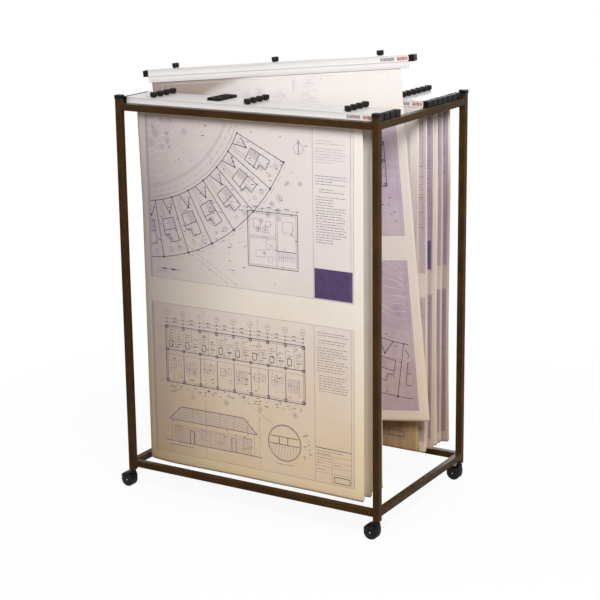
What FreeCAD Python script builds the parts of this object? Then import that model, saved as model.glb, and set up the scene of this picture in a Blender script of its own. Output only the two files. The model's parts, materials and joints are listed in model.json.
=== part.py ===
"""Mobile plan hanging rack: an open tube frame on twin-wheel castors, with clamping hangers that carry
packs of drawings. Millimetres, +Z up, origin on the floor under the middle of the frame.
+X is to the right along the front, +Y goes from the front to the back.
"""
import FreeCAD, Part
import math
import os

os.makedirs("parts", exist_ok=True)

V = FreeCAD.Vector

# ---------------------------------------------------------------- driving dimensions
# Frame of square tube
FRAME_WIDTH = 980.0          # over the posts, along X
FRAME_DEPTH = 624.0          # over the posts, along Y
TUBE = 22.0                  # square tube, outside
TUBE_WALL = 1.5
TUBE_CORNER = 1.2            # chamfer along the outside corners
RAIL_TOP = 1335.0            # top of the upper rails, where the hangers' lugs rest
POST_RISE = 26.0             # posts stand this far above the upper rails
LOW_RAIL_TOP = 99.0          # top of the lower rails
SOCKET_DEPTH = 34.0          # castor socket welded into the foot of a post

# Plastic cap over the top of each post
CAP_HEIGHT = 12.0
CAP_WALL = 1.4
CAP_ROOF = 2.0
CAP_FIT = 0.1                # between cap and tube, each side

# Twin-wheel castor
WHEEL_RADIUS = 25.0
WHEEL_WIDTH = 13.0
TREAD_EDGE = 2.5             # chamfer round the outer edge of the tread
WHEEL_SIDE_GAP = 1.0         # between a wheel and the web beside it
WEB_THICKNESS = 8.0          # web between the two wheels
HOOD_GAP = 1.0               # between tread and hood
HOOD_WALL = 2.0
CASTOR_TRAIL = 18.0          # wheels run this far behind the swivel axis, towards -X
AXLE_RADIUS = 3.0
STEM_RADIUS = 5.5
STEM_LENGTH = 30.0           # inside the socket
STEM_COLLAR = 4.0            # height of the hexagon collar under the post
COLLAR_ACROSS_FLATS = 17.0
COLLAR_RISE = 6.0            # collar's underside above the top of the hood
NECK_RADIUS = 9.0
RUNNING_FIT = 0.06           # radial clearance of every pin that turns or slides

# Hanger: aluminium profile with a hinged jaw, a black lug at each end, three knobs on top.
# Heights are from the seat, the plane on which the lugs rest.
LUG_END = 10.0               # lugs end this far inside the outer faces of the side rails
HANGER_DEPTH = 34.0
HANGER_TOP = 22.0            # profile's top above the seat
HANGER_DROP = 20.0           # lips' lower edge below the seat
PROFILE_WALL = 2.0
LABEL_RECESS = 1.2           # depth of the label channel along the front
LIP_THICKNESS = 4.0
REAR_WALL_LOW = 3.0          # lower edge of the short rear wall above the seat
LUG_LENGTH = 20.0
LUG_HEIGHT = 21.0
LUG_INSET = 2.0              # lug is this much narrower than the profile, front and back
SPIGOT_LENGTH = 18.0
SPIGOT_FIT = 0.1

# Jaw, which turns about a bead that runs the whole length of the hanger
BEAD_RADIUS = 3.0
BEAD_Y = 10.0                # behind the front face
BEAD_Z = 13.0                # above the seat
SOCKET_WALL = 1.7
SOCKET_MOUTH = (210, 277, 345)   # degrees round the bead between which the socket is open
JAW_THICKNESS = 3.0
JAW_SHORTER = 20.0           # the jaw stops this far before each end of the profile
ARM_DROP = 3.0               # arm's upper face below the bead's centre
ARM_REACH = 16.0             # arm's end behind the bead's centre
LIP_GAP = 3.6                # between the lip and the closed jaw

# Knobs and their studs
KNOB_SPACING = 363.0
KNOB_Y = 19.0                # behind the front face
KNOB_RADIUS = 10.5
KNOB_HEIGHT = 15.0
KNOB_GAP = 2.2               # from the profile's top to the knob
KNOB_ROOF = 2.0              # solid top of the knob over its stud
STUD_RADIUS = 3.0
FOOT_GAP = 0.05              # under the stud's ball foot with the jaw closed
NUT_FLANGE = 13.0            # rivet nut in the roof: flange and barrel across flats
NUT_FLANGE_HEIGHT = 1.2
NUT_BARREL = 9.0
NUT_BARREL_LENGTH = 5.0      # below the roof

# Flat card plates on the front group's hangers
CARD_WIDTH = 46.0
CARD_HEIGHT = 7.0
CARD_X = -142.0
CARD_INSET = 0.5
CARD_RIM = 3.0

# Groups of hangers on the rails
HANGER_PITCH = 36.0
POST_CLEAR = 2.0             # between a post and the hanger next to it
FRONT_COUNT = 4
REAR_COUNT = 7

# Hanger lifted out of the free bay between the groups, tilted and turned
RAISED_LIFT = 108.7          # its middle above the seat on the rails
RAISED_X = -26.4
RAISED_ROLL = 5.0            # degrees, right end up
BAY_CLEAR = 3.0              # its ends stay this far from the hangers before and behind it

# Packs of plans. A pack is one solid, thin at the lips and fanned towards its lower edge.
PLAN_WIDTH = 841.0
RAISED_PLAN_WIDTH = 880.0    # the raised pack is of untrimmed prints
PLAN_GRIP = 25.0             # part of a sheet's length that is up inside the hanger
PACK_CLEAR = 0.3             # between the pack and each lip
PACK_FRONT = 1.5             # lower edge of a pack, behind the hanger's front face
PACK_BACK = 13.0
FRONT_PLAN_LENGTHS = (1232.0, 1228.0, 1224.0, 1226.0)
REAR_PLAN_LENGTHS = (1162.0, 1176.0, 1182.0, 1189.0, 1189.0, 1189.0, 1196.0)
RAISED_PLAN_LENGTH = 1189.0
FRONT_PLAN_SHIFT = 0.0       # packs hang this far to the right of their hanger's middle
REAR_PLAN_SHIFT = 28.0
RAISED_PLAN_SHIFT = -10.0

# ---------------------------------------------------------------- derived places
HALF_WIDTH = FRAME_WIDTH / 2
HALF_DEPTH = FRAME_DEPTH / 2
POST_TOP = RAIL_TOP + POST_RISE
HOOD_TOP = 2 * WHEEL_RADIUS + HOOD_GAP + HOOD_WALL
POST_FOOT = HOOD_TOP + COLLAR_RISE + STEM_COLLAR
HANGER_LENGTH = FRAME_WIDTH - 2 * LUG_END
PROFILE_LENGTH = HANGER_LENGTH - 2 * LUG_LENGTH
HALF_PROFILE = PROFILE_LENGTH / 2
FIRST_FRONT_Y = -HALF_DEPTH + TUBE + POST_CLEAR
LAST_REAR_Y = HALF_DEPTH - TUBE - POST_CLEAR - HANGER_DEPTH
BAY_FRONT = FIRST_FRONT_Y + (FRONT_COUNT - 1) * HANGER_PITCH + HANGER_DEPTH
BAY_BACK = LAST_REAR_Y - (REAR_COUNT - 1) * HANGER_PITCH
RAISED_Y = (BAY_FRONT + BAY_BACK) / 2
RAISED_YAW = math.degrees(math.asin(
    (BAY_BACK - BAY_FRONT - 2 * BAY_CLEAR - HANGER_DEPTH) / HANGER_LENGTH))
JAW_FRONT = LIP_THICKNESS + LIP_GAP
WEB_UNDERSIDE = HANGER_TOP - PROFILE_WALL
KNOB_BASE = HANGER_TOP + KNOB_GAP
ARM_TOP = BEAD_Z - ARM_DROP


# ---------------------------------------------------------------- small helpers
def box(x0, x1, y0, y1, z0, z1):
    """Box between two corners."""
    return Part.makeBox(x1 - x0, y1 - y0, z1 - z0, V(x0, y0, z0))


def along(shape, axis):
    """Straight edges of a shape that run along an axis."""
    picked = []
    for edge in shape.Edges:
        run = edge.Vertexes[-1].Point - edge.Vertexes[0].Point
        if run.Length > 0.01 and abs(run.normalize().dot(axis)) > 0.999:
            picked.append(edge)
    return picked


def bar_x(points, x0, x1):
    """Closed outline of (y, z) points, extruded along X."""
    corners = [V(x0, y, z) for y, z in points]
    outline = Part.makePolygon(corners + corners[:1])
    return Part.Face(outline).extrude(V(x1 - x0, 0, 0))


def rod(radius, start, end):
    """Round rod between two points."""
    run = end - start
    return Part.makeCylinder(radius, run.Length, start, run)


def turned(points, centre, axis):
    """Solid turned about an axis, from (radius, distance along the axis) points."""
    side = V(1, 0, 0) if abs(axis.x) < 0.5 else V(0, 0, 1)
    corners = [centre + side * r + axis * h for r, h in points]
    face = Part.Face(Part.makePolygon(corners + corners[:1]))
    return face.revolve(centre, axis, 360)


def square_tube(x0, x1, y0, y1, z0, z1, axis):
    """Hollow square tube filling a box, open at both ends of the axis."""
    outer = box(x0, x1, y0, y1, z0, z1)
    outer = outer.makeChamfer(TUBE_CORNER, along(outer, axis))
    in_x = 0.0 if axis.x else TUBE_WALL
    in_y = 0.0 if axis.y else TUBE_WALL
    in_z = 0.0 if axis.z else TUBE_WALL
    return outer.cut(box(x0 + in_x, x1 - in_x, y0 + in_y, y1 - in_y, z0 + in_z, z1 - in_z))


def hexagon(x, y, across_flats, z0, z1):
    """Upright hexagonal bar."""
    corner = across_flats / math.sqrt(3)
    points = [V(x + corner * math.cos(math.radians(a)), y + corner * math.sin(math.radians(a)), z0)
              for a in range(0, 361, 60)]
    return Part.Face(Part.makePolygon(points)).extrude(V(0, 0, z1 - z0))


def stacked(rings):
    """Solid whose sides join rings of points that are scaled copies of each other."""
    faces = [Part.Face(Part.makePolygon(rings[0] + rings[0][:1])),
             Part.Face(Part.makePolygon(rings[-1] + rings[-1][:1]))]
    for low, high in zip(rings, rings[1:]):
        for n in range(len(low)):
            m = (n + 1) % len(low)
            faces.append(Part.Face(Part.makePolygon([low[n], low[m], high[m], high[n], low[n]])))
    shell = Part.makeShell(faces)
    shell.sewShape()
    solid = Part.makeSolid(Part.Shell(shell.Faces))
    if solid.Volume < 0:
        solid.reverse()
    return solid


def fused(shapes):
    """One solid from pieces that touch."""
    return shapes[0].multiFuse(shapes[1:]).removeSplitter()


def save(name, *shapes):
    """Write one node; several shapes stay separate solids in it."""
    shape = shapes[0] if len(shapes) == 1 else Part.makeCompound(list(shapes))
    shape.exportStep("parts/" + name + ".step")


# ---------------------------------------------------------------- frame
def end_frame(side):
    """Welded end frame: two posts, an upper and a lower rail, and a castor socket in each foot.
    side is -1 for the left end and 1 for the right end."""
    outer_x = side * HALF_WIDTH
    inner_x = outer_x - side * TUBE
    x0, x1 = sorted((outer_x, inner_x))
    pieces = []
    bores = []
    for end in (-1, 1):
        y0, y1 = sorted((end * HALF_DEPTH, end * (HALF_DEPTH - TUBE)))
        pieces.append(square_tube(x0, x1, y0, y1, POST_FOOT, POST_TOP, V(0, 0, 1)))
        socket_top = POST_FOOT + SOCKET_DEPTH
        pieces.append(box(x0 + TUBE_WALL, x1 - TUBE_WALL, y0 + TUBE_WALL, y1 - TUBE_WALL,
                          POST_FOOT, socket_top))
        centre = V((x0 + x1) / 2, (y0 + y1) / 2, POST_FOOT)
        bores.append(rod(STEM_RADIUS + RUNNING_FIT, centre, centre + V(0, 0, SOCKET_DEPTH)))
    rail_y = HALF_DEPTH - TUBE
    for top in (RAIL_TOP, LOW_RAIL_TOP):
        pieces.append(square_tube(x0, x1, -rail_y, rail_y, top - TUBE, top, V(0, 1, 0)))
    return fused(pieces).cut(Part.makeCompound(bores))


def cross_rail(end, top):
    """Rail along X between the posts of the two end frames, at the front (-1) or the back (1)."""
    y0, y1 = sorted((end * HALF_DEPTH, end * (HALF_DEPTH - TUBE)))
    reach = HALF_WIDTH - TUBE
    return square_tube(-reach, reach, y0, y1, top - TUBE, top, V(1, 0, 0))


def post_cap(side, end):
    """Cap that sleeves over the top of a post."""
    x = side * (HALF_WIDTH - TUBE / 2)
    y = end * (HALF_DEPTH - TUBE / 2)
    inner = TUBE / 2 + CAP_FIT
    outer = inner + CAP_WALL
    top = POST_TOP + CAP_ROOF
    shell = box(x - outer, x + outer, y - outer, y + outer, top - CAP_HEIGHT, top)
    shell = shell.makeChamfer(CAP_WALL, along(shell, V(0, 0, 1)))
    roof_edges = [e for e in shell.Edges if e.BoundBox.ZMin > top - 0.01]
    shell = shell.makeChamfer(CAP_WALL / 2, roof_edges)
    return shell.cut(box(x - inner, x + inner, y - inner, y + inner, top - CAP_HEIGHT, POST_TOP))


# ---------------------------------------------------------------- castors
def castor_housing(x, y):
    """Moulded hood and web, the steel stem with its hexagon collar, and the axle."""
    swivel = V(x, y, 0)
    axle = V(x - CASTOR_TRAIL, y, WHEEL_RADIUS)
    inner = WHEEL_RADIUS + HOOD_GAP
    outer = inner + HOOD_WALL
    half_web = WEB_THICKNESS / 2
    half_hood = half_web + WHEEL_SIDE_GAP + WHEEL_WIDTH
    collar_base = POST_FOOT - STEM_COLLAR

    hood = rod(outer, axle - V(0, half_hood, 0), axle + V(0, half_hood, 0))
    hood = hood.cut(rod(inner, axle - V(0, half_hood, 0), axle + V(0, half_hood, 0)))
    below = box(x - 2 * outer - CASTOR_TRAIL, x + 2 * outer, y - 2 * half_hood, y + 2 * half_hood,
                -outer, WHEEL_RADIUS)
    hood = hood.cut(below)
    web = rod(inner, axle - V(0, half_web, 0), axle + V(0, half_web, 0))
    under_web = box(x - 2 * outer - CASTOR_TRAIL, x + 2 * outer, y - half_hood, y + half_hood,
                    -outer, WHEEL_RADIUS / 2)
    web = web.cut(under_web)
    neck = rod(NECK_RADIUS, swivel + V(0, 0, WHEEL_RADIUS + HOOD_WALL), swivel + V(0, 0, collar_base))
    wheel_space = rod(inner, axle - V(0, half_hood, 0), axle - V(0, half_web, 0))
    wheel_space = wheel_space.fuse(rod(inner, axle + V(0, half_web, 0), axle + V(0, half_hood, 0)))
    body = fused([web, hood, neck.cut(wheel_space)])

    axle_end = half_hood - WHEEL_SIDE_GAP
    pin = rod(AXLE_RADIUS, axle - V(0, axle_end, 0), axle + V(0, axle_end, 0))
    body = body.cut(pin)

    collar = hexagon(x, y, COLLAR_ACROSS_FLATS, collar_base, POST_FOOT - RUNNING_FIT)
    stem = rod(STEM_RADIUS, V(x, y, collar_base), V(x, y, POST_FOOT + STEM_LENGTH))
    return [body, fused([collar, stem]), pin]


def castor_wheel(x, y, side):
    """One wheel of a pair, turned about the axle; side is -1 for the front wheel, 1 for the rear one."""
    inner_face = WEB_THICKNESS / 2 + WHEEL_SIDE_GAP
    outer_face = inner_face + WHEEL_WIDTH
    bore = AXLE_RADIUS + RUNNING_FIT
    outline = [
        (bore, inner_face), (WHEEL_RADIUS, inner_face), (WHEEL_RADIUS, outer_face - TREAD_EDGE),
        (WHEEL_RADIUS - TREAD_EDGE, outer_face), (bore, outer_face)]
    return turned(outline, V(x - CASTOR_TRAIL, y, WHEEL_RADIUS), V(0, side, 0))


# ---------------------------------------------------------------- hangers, in their own frame
# Own frame: x from the hanger's middle, y from its front face, z from the seat.
KNOB_PLACES = {"left": -KNOB_SPACING, "centre": 0.0, "right": KNOB_SPACING}


def profile_outline(extra=()):
    """Outline of the aluminium profile: front wall with a label channel and a thick lower lip, roof and
    short rear wall. extra points go along the underside of the roof, from front to back."""
    front_wall = LABEL_RECESS + PROFILE_WALL
    rear_inner = HANGER_DEPTH - PROFILE_WALL
    return [
        (0, HANGER_TOP), (0, WEB_UNDERSIDE), (LABEL_RECESS, WEB_UNDERSIDE), (LABEL_RECESS, PROFILE_WALL),
        (0, PROFILE_WALL), (0, -HANGER_DROP + LABEL_RECESS), (LABEL_RECESS, -HANGER_DROP),
        (LIP_THICKNESS, -HANGER_DROP), (LIP_THICKNESS, 0), (front_wall, PROFILE_WALL),
        (front_wall, WEB_UNDERSIDE), *extra, (rear_inner, WEB_UNDERSIDE),
        (rear_inner, REAR_WALL_LOW + PROFILE_WALL), (rear_inner - PROFILE_WALL, REAR_WALL_LOW + PROFILE_WALL),
        (rear_inner - PROFILE_WALL, REAR_WALL_LOW), (HANGER_DEPTH, REAR_WALL_LOW),
        (HANGER_DEPTH, HANGER_TOP)]


def hanger_profile():
    """Profile with the split socket for the jaw's bead, and a rivet nut for each stud."""
    shell = bar_x(profile_outline(), -HALF_PROFILE, HALF_PROFILE)
    bead_start = V(-HALF_PROFILE, BEAD_Y, BEAD_Z)
    bead_end = V(HALF_PROFILE, BEAD_Y, BEAD_Z)
    socket_inner = BEAD_RADIUS + RUNNING_FIT
    socket_outer = socket_inner + SOCKET_WALL
    neck = box(-HALF_PROFILE, HALF_PROFILE, BEAD_Y - socket_inner, BEAD_Y + socket_inner,
               BEAD_Z, WEB_UNDERSIDE)
    mouth = [(BEAD_Y, BEAD_Z)]
    for angle in SOCKET_MOUTH:
        mouth.append((BEAD_Y + 2 * socket_outer * math.cos(math.radians(angle)),
                      BEAD_Z + 2 * socket_outer * math.sin(math.radians(angle))))
    socket = rod(socket_outer, bead_start, bead_end).fuse(neck)
    socket = socket.cut(rod(socket_inner, bead_start, bead_end))
    socket = socket.cut(bar_x(mouth, -HALF_PROFILE, HALF_PROFILE))
    pieces = [shell, socket]
    holes = []
    nut_low = WEB_UNDERSIDE - NUT_BARREL_LENGTH
    nut_top = HANGER_TOP + NUT_FLANGE_HEIGHT
    for x in KNOB_PLACES.values():
        pieces.append(hexagon(x, KNOB_Y, NUT_BARREL, nut_low, HANGER_TOP))
        pieces.append(hexagon(x, KNOB_Y, NUT_FLANGE, HANGER_TOP, nut_top))
        holes.append(rod(STUD_RADIUS + RUNNING_FIT, V(x, KNOB_Y, nut_low), V(x, KNOB_Y, nut_top)))
    return fused(pieces).cut(Part.makeCompound(holes))


def hanger_jaw():
    """Jaw: the bead, the blade that presses the pack against the lip, and the arm under the studs."""
    reach = HALF_PROFILE - JAW_SHORTER
    bead = rod(BEAD_RADIUS, V(-reach, BEAD_Y, BEAD_Z), V(reach, BEAD_Y, BEAD_Z))
    blade = box(-reach, reach, JAW_FRONT, JAW_FRONT + JAW_THICKNESS, -HANGER_DROP, ARM_TOP + 1.0)
    arm = box(-reach, reach, JAW_FRONT, BEAD_Y + ARM_REACH, ARM_TOP - JAW_THICKNESS, ARM_TOP)
    return fused([bead, blade, arm])


def closed_profile():
    """Profile of a hanger that stays closed: a plain rib takes the place of the socket."""
    rib_low = BEAD_Z + BEAD_RADIUS
    rib = ((BEAD_Y - BEAD_RADIUS, WEB_UNDERSIDE), (BEAD_Y - BEAD_RADIUS, rib_low),
           (BEAD_Y + BEAD_RADIUS, rib_low), (BEAD_Y + BEAD_RADIUS, WEB_UNDERSIDE))
    return bar_x(profile_outline(rib), -HALF_PROFILE, HALF_PROFILE)


def closed_jaw():
    """Jaw of a hanger that stays closed, with a square shoulder under the rib in place of the bead."""
    reach = HALF_PROFILE - JAW_SHORTER
    blade_back = JAW_FRONT + JAW_THICKNESS
    shoulder_back = BEAD_Y + BEAD_RADIUS
    outline = [
        (JAW_FRONT, -HANGER_DROP), (blade_back, -HANGER_DROP), (blade_back, ARM_TOP - JAW_THICKNESS),
        (BEAD_Y + ARM_REACH, ARM_TOP - JAW_THICKNESS), (BEAD_Y + ARM_REACH, ARM_TOP),
        (shoulder_back, ARM_TOP), (shoulder_back, BEAD_Z + BEAD_RADIUS), (JAW_FRONT, BEAD_Z + BEAD_RADIUS)]
    return bar_x(outline, -reach, reach)


def end_lug(side):
    """Black end piece: a block that rests on the side rail and a spigot inside the profile."""
    x0, x1 = sorted((side * HALF_PROFILE, side * (HALF_PROFILE + LUG_LENGTH)))
    block = box(x0, x1, LUG_INSET, HANGER_DEPTH - LUG_INSET, 0, LUG_HEIGHT)
    outer_edges = [e for e in along(block, V(0, 0, 1)) if abs(e.BoundBox.XMin) > HALF_PROFILE + 1]
    block = block.makeChamfer(LUG_INSET, outer_edges)
    s0, s1 = sorted((side * (HALF_PROFILE - SPIGOT_LENGTH), side * HALF_PROFILE))
    socket_outer = BEAD_RADIUS + RUNNING_FIT + SOCKET_WALL
    spigot_low = REAR_WALL_LOW + PROFILE_WALL + SPIGOT_FIT
    spigot = box(s0, s1, BEAD_Y + socket_outer + SPIGOT_FIT, HANGER_DEPTH - PROFILE_WALL - SPIGOT_FIT,
                 spigot_low, WEB_UNDERSIDE - SPIGOT_FIT)
    return block.fuse(spigot).removeSplitter()


def stud(x):
    """Stud with a domed foot that presses on the jaw's arm."""
    foot = V(x, KNOB_Y, ARM_TOP + FOOT_GAP)
    length = KNOB_BASE + KNOB_HEIGHT - KNOB_ROOF - foot.z
    outline = [(0, 0)]
    for angle in (45, 90):
        outline.append((STUD_RADIUS * math.sin(math.radians(angle)),
                        STUD_RADIUS * (1 - math.cos(math.radians(angle)))))
    outline += [(STUD_RADIUS, length), (0, length)]
    return turned(outline, foot, V(0, 0, 1))


def knob_head(x, steps, points, flute):
    """Knob with a flat top and a side that draws in to its foot. steps are (share of the radius, height);
    every second point round it is drawn in by flute."""
    rings = []
    for share, height in steps:
        ring = []
        for n in range(points):
            radius = share * (KNOB_RADIUS - flute * (n % 2))
            angle = 2 * math.pi * n / points
            ring.append(V(x + radius * math.cos(angle), KNOB_Y + radius * math.sin(angle),
                          KNOB_BASE + height))
        rings.append(ring)
    return stacked(rings)


def fluted_knob(x):
    """Knob with flutes all round and a blind bore for the stud."""
    steps = ((0.45, 0.0), (0.75, 1.5), (0.93, 5.0), (1.0, 9.0), (1.0, KNOB_HEIGHT - 1.0),
             (0.92, KNOB_HEIGHT))
    head = knob_head(x, steps, 24, 0.9)
    bore_top = KNOB_BASE + KNOB_HEIGHT - KNOB_ROOF + FOOT_GAP
    return head.cut(rod(STUD_RADIUS + RUNNING_FIT, V(x, KNOB_Y, KNOB_BASE), V(x, KNOB_Y, bore_top)))


def plain_knob(x):
    """Knob of a hanger that stays closed, with twelve flats, on its short neck."""
    neck = STUD_RADIUS / KNOB_RADIUS
    return knob_head(x, ((neck, -KNOB_GAP), (neck, 0.0), (0.92, 5.0), (1.0, KNOB_HEIGHT)), 12, 0.0)


def card_plate():
    """Flat card plate on the hanger's roof, with a shallow tray."""
    x0, x1 = CARD_X - CARD_WIDTH / 2, CARD_X + CARD_WIDTH / 2
    y0, y1 = CARD_INSET, HANGER_DEPTH - CARD_INSET
    top = HANGER_TOP + CARD_HEIGHT
    plate = box(x0, x1, y0, y1, HANGER_TOP, top)
    tray = box(x0 + CARD_RIM, x1 - CARD_RIM, y0 + CARD_RIM, y1 - CARD_RIM, top - 1.0, top)
    return plate.cut(tray)


def plan_pack(length, shift, width=PLAN_WIDTH):
    """Pack of sheets, gripped between the lips and fanned towards its lower edge."""
    lip_front = LIP_THICKNESS + PACK_CLEAR
    lip_back = JAW_FRONT - PACK_CLEAR
    top = -HANGER_DROP + PLAN_GRIP
    low = top - length
    free = -HANGER_DROP - 1.0
    outline = [(lip_front, top), (lip_back, top), (lip_back, free), (PACK_BACK, low),
               (PACK_FRONT, low), (lip_front, free)]
    return bar_x(outline, shift - width / 2, shift + width / 2)


# ---------------------------------------------------------------- assembly
def place(shapes, placement):
    """Copies of shapes in a new place."""
    placed = []
    for shape in shapes:
        copy = shape.copy()
        copy.Placement = placement.multiply(copy.Placement)
        placed.append(copy)
    return placed


def seated(y):
    """Placement of a hanger whose front face is at y and whose lugs rest on the side rails."""
    return FreeCAD.Placement(V(0, y, RAIL_TOP), FreeCAD.Rotation())


def raised():
    """Placement of the hanger that is lifted out of the free bay."""
    turn = FreeCAD.Rotation(V(0, 0, 1), RAISED_YAW)
    turn = turn.multiply(FreeCAD.Rotation(V(0, 1, 0), -RAISED_ROLL))
    middle = V(RAISED_X, RAISED_Y, RAIL_TOP + RAISED_LIFT)
    return FreeCAD.Placement(middle - turn.multVec(V(0, HANGER_DEPTH / 2, 0)), turn)


def build_frame():
    save("left_end_frame", end_frame(-1))
    save("right_end_frame", end_frame(1))
    save("front_top_rail", cross_rail(-1, RAIL_TOP))
    save("rear_top_rail", cross_rail(1, RAIL_TOP))
    save("front_bottom_rail", cross_rail(-1, LOW_RAIL_TOP))
    save("rear_bottom_rail", cross_rail(1, LOW_RAIL_TOP))
    save("post_caps", *[post_cap(side, end) for side in (-1, 1) for end in (-1, 1)])


def build_castors():
    for end, end_name in ((-1, "front"), (1, "rear")):
        for side, side_name in ((-1, "left"), (1, "right")):
            x = side * (HALF_WIDTH - TUBE / 2)
            y = end * (HALF_DEPTH - TUBE / 2)
            name = "castor_" + end_name + "_" + side_name
            save(name + "_housing", *castor_housing(x, y))
            save(name + "_wheel_front", castor_wheel(x, y, -1))
            save(name + "_wheel_rear", castor_wheel(x, y, 1))


def build_seated_hangers():
    profiles = [closed_profile(), closed_jaw()]
    fittings = [end_lug(-1), end_lug(1)]
    fittings += [plain_knob(x) for x in KNOB_PLACES.values()]
    for n, length in enumerate(FRONT_PLAN_LENGTHS[:FRONT_COUNT]):
        placement = seated(FIRST_FRONT_Y + n * HANGER_PITCH)
        name = "front_hanger_" + str(n + 1)
        save(name + "_profiles", *place(profiles, placement))
        save(name + "_fittings", *place(fittings + [card_plate()], placement))
        save(name + "_plans", *place([plan_pack(length, FRONT_PLAN_SHIFT)], placement))
    for n, length in enumerate(REAR_PLAN_LENGTHS[:REAR_COUNT]):
        placement = seated(BAY_BACK + n * HANGER_PITCH)
        name = "rear_hanger_" + str(n + 1)
        save(name + "_profiles", *place(profiles, placement))
        save(name + "_fittings", *place(fittings, placement))
        save(name + "_plans", *place([plan_pack(length, REAR_PLAN_SHIFT)], placement))


def build_raised_hanger():
    placement = raised()
    save("raised_hanger_profile", *place([hanger_profile()], placement))
    save("raised_hanger_jaw", *place([hanger_jaw()], placement))
    save("raised_hanger_end_lugs", *place([end_lug(-1), end_lug(1)], placement))
    save("raised_hanger_studs", *place([stud(x) for x in KNOB_PLACES.values()], placement))
    for side, x in KNOB_PLACES.items():
        save("raised_hanger_knob_" + side, *place([fluted_knob(x)], placement))
    pack = plan_pack(RAISED_PLAN_LENGTH, RAISED_PLAN_SHIFT, RAISED_PLAN_WIDTH)
    save("raised_hanger_plans", *place([pack], placement))


build_frame()
build_castors()
build_seated_hangers()
build_raised_hanger()
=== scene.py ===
"""Mobile plan hanging rack: the finishes of its tube frame, its twin-wheel castors, the clamping hangers
and the packs of plans that hang from them, built round a fixed frame.

Lengths are in metres, +Z up, with the origin on the floor under the middle of the frame. A hanger has a
frame of its own: x from its middle, y from its front face, z from the seat where its lugs rest.
A sheet has its own places too: across from its left edge, and down from its upper edge."""
import json
import math
import random

import bmesh
import bpy
import numpy as np
from mathutils import Matrix, Vector

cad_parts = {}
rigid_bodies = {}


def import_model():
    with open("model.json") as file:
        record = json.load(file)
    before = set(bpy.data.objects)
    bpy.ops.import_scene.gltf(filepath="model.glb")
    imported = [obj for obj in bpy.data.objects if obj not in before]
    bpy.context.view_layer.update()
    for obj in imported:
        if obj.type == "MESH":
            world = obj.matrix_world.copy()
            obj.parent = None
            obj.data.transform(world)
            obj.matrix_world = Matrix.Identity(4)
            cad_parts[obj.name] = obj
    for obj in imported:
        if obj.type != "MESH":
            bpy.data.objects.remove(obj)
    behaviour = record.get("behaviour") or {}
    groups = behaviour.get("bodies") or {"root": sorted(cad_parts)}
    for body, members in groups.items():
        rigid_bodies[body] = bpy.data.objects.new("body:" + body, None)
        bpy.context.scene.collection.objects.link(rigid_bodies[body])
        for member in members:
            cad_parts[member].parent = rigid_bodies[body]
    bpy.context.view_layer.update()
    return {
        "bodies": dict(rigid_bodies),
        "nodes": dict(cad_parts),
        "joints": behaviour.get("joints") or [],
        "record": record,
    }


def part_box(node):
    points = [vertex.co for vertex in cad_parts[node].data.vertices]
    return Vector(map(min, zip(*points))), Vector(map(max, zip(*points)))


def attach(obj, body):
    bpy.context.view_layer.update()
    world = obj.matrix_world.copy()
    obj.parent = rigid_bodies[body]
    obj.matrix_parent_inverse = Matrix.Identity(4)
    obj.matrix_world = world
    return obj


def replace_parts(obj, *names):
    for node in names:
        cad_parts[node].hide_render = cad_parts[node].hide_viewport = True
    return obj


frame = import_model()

bl_info = {
    "name": "Plan hanging rack",
    "version": (1, 0, 0),
    "blender": (4, 5, 0),
    "location": "3D View > Sidebar > Plan rack",
    "description": "Finishes, castors, clamping hangers and hung plans of a mobile rack",
    "category": "Object",
}

# ---------------------------------------------------------------- sizes that follow the frame
HANGER_DROP = 0.020           # lips' lower edge below the seat
HANGER_TOP = 0.022
WALL = 0.002
LABEL_RECESS = 0.0012
LIP = 0.004
REAR_WALL_LOW = 0.003
LUG_LENGTH = 0.020
LUG_HEIGHT = 0.021
LUG_INSET = 0.002
LUG_EDGE = 0.0006
BEAD_RADIUS = 0.003
BEAD_Y = 0.010
BEAD_Z = 0.013
SOCKET_INNER = 0.00306
SOCKET_OUTER = 0.00476
JAW_FRONT = 0.0076
JAW_THICKNESS = 0.003
JAW_SHORTER = 0.020
ARM_TOP = 0.010
ARM_END = 0.026
KNOB_SPACING = 0.363
KNOB_Y = 0.019
KNOB_GAP = 0.0022
KNOB_HEIGHT = 0.015
KNOB_RADIUS = 0.0118
STUD_RADIUS = 0.003
NUT_HEIGHT = 0.0012
NUT_ACROSS = 0.013
CARD_X = -0.142
CARD_WIDTH = 0.046
CARD_INSET = 0.0005
CARD_HEIGHT = 0.0088
GRIP = 0.025                  # part of a sheet that is up inside the hanger
LIP_CLEAR = 0.0003
TUBE = 0.022
WHEEL_RADIUS = 0.025
WHEEL_WIDTH = 0.013
WEB = 0.008
WHEEL_GAP = 0.001
HOOD_GAP = 0.001
HOOD_WALL = 0.002
AXLE_RADIUS = 0.003
STEM_RADIUS = 0.0055
STEM_INSIDE = 0.030
COLLAR_HEIGHT = 0.004
COLLAR_ACROSS = 0.017
NECK_RADIUS = 0.009
RUNNING_FIT = 0.00006         # gap between parts that turn in each other or meet
RAIL_TOP = 1.335
WELD = 0.0022                 # leg of a weld

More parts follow.
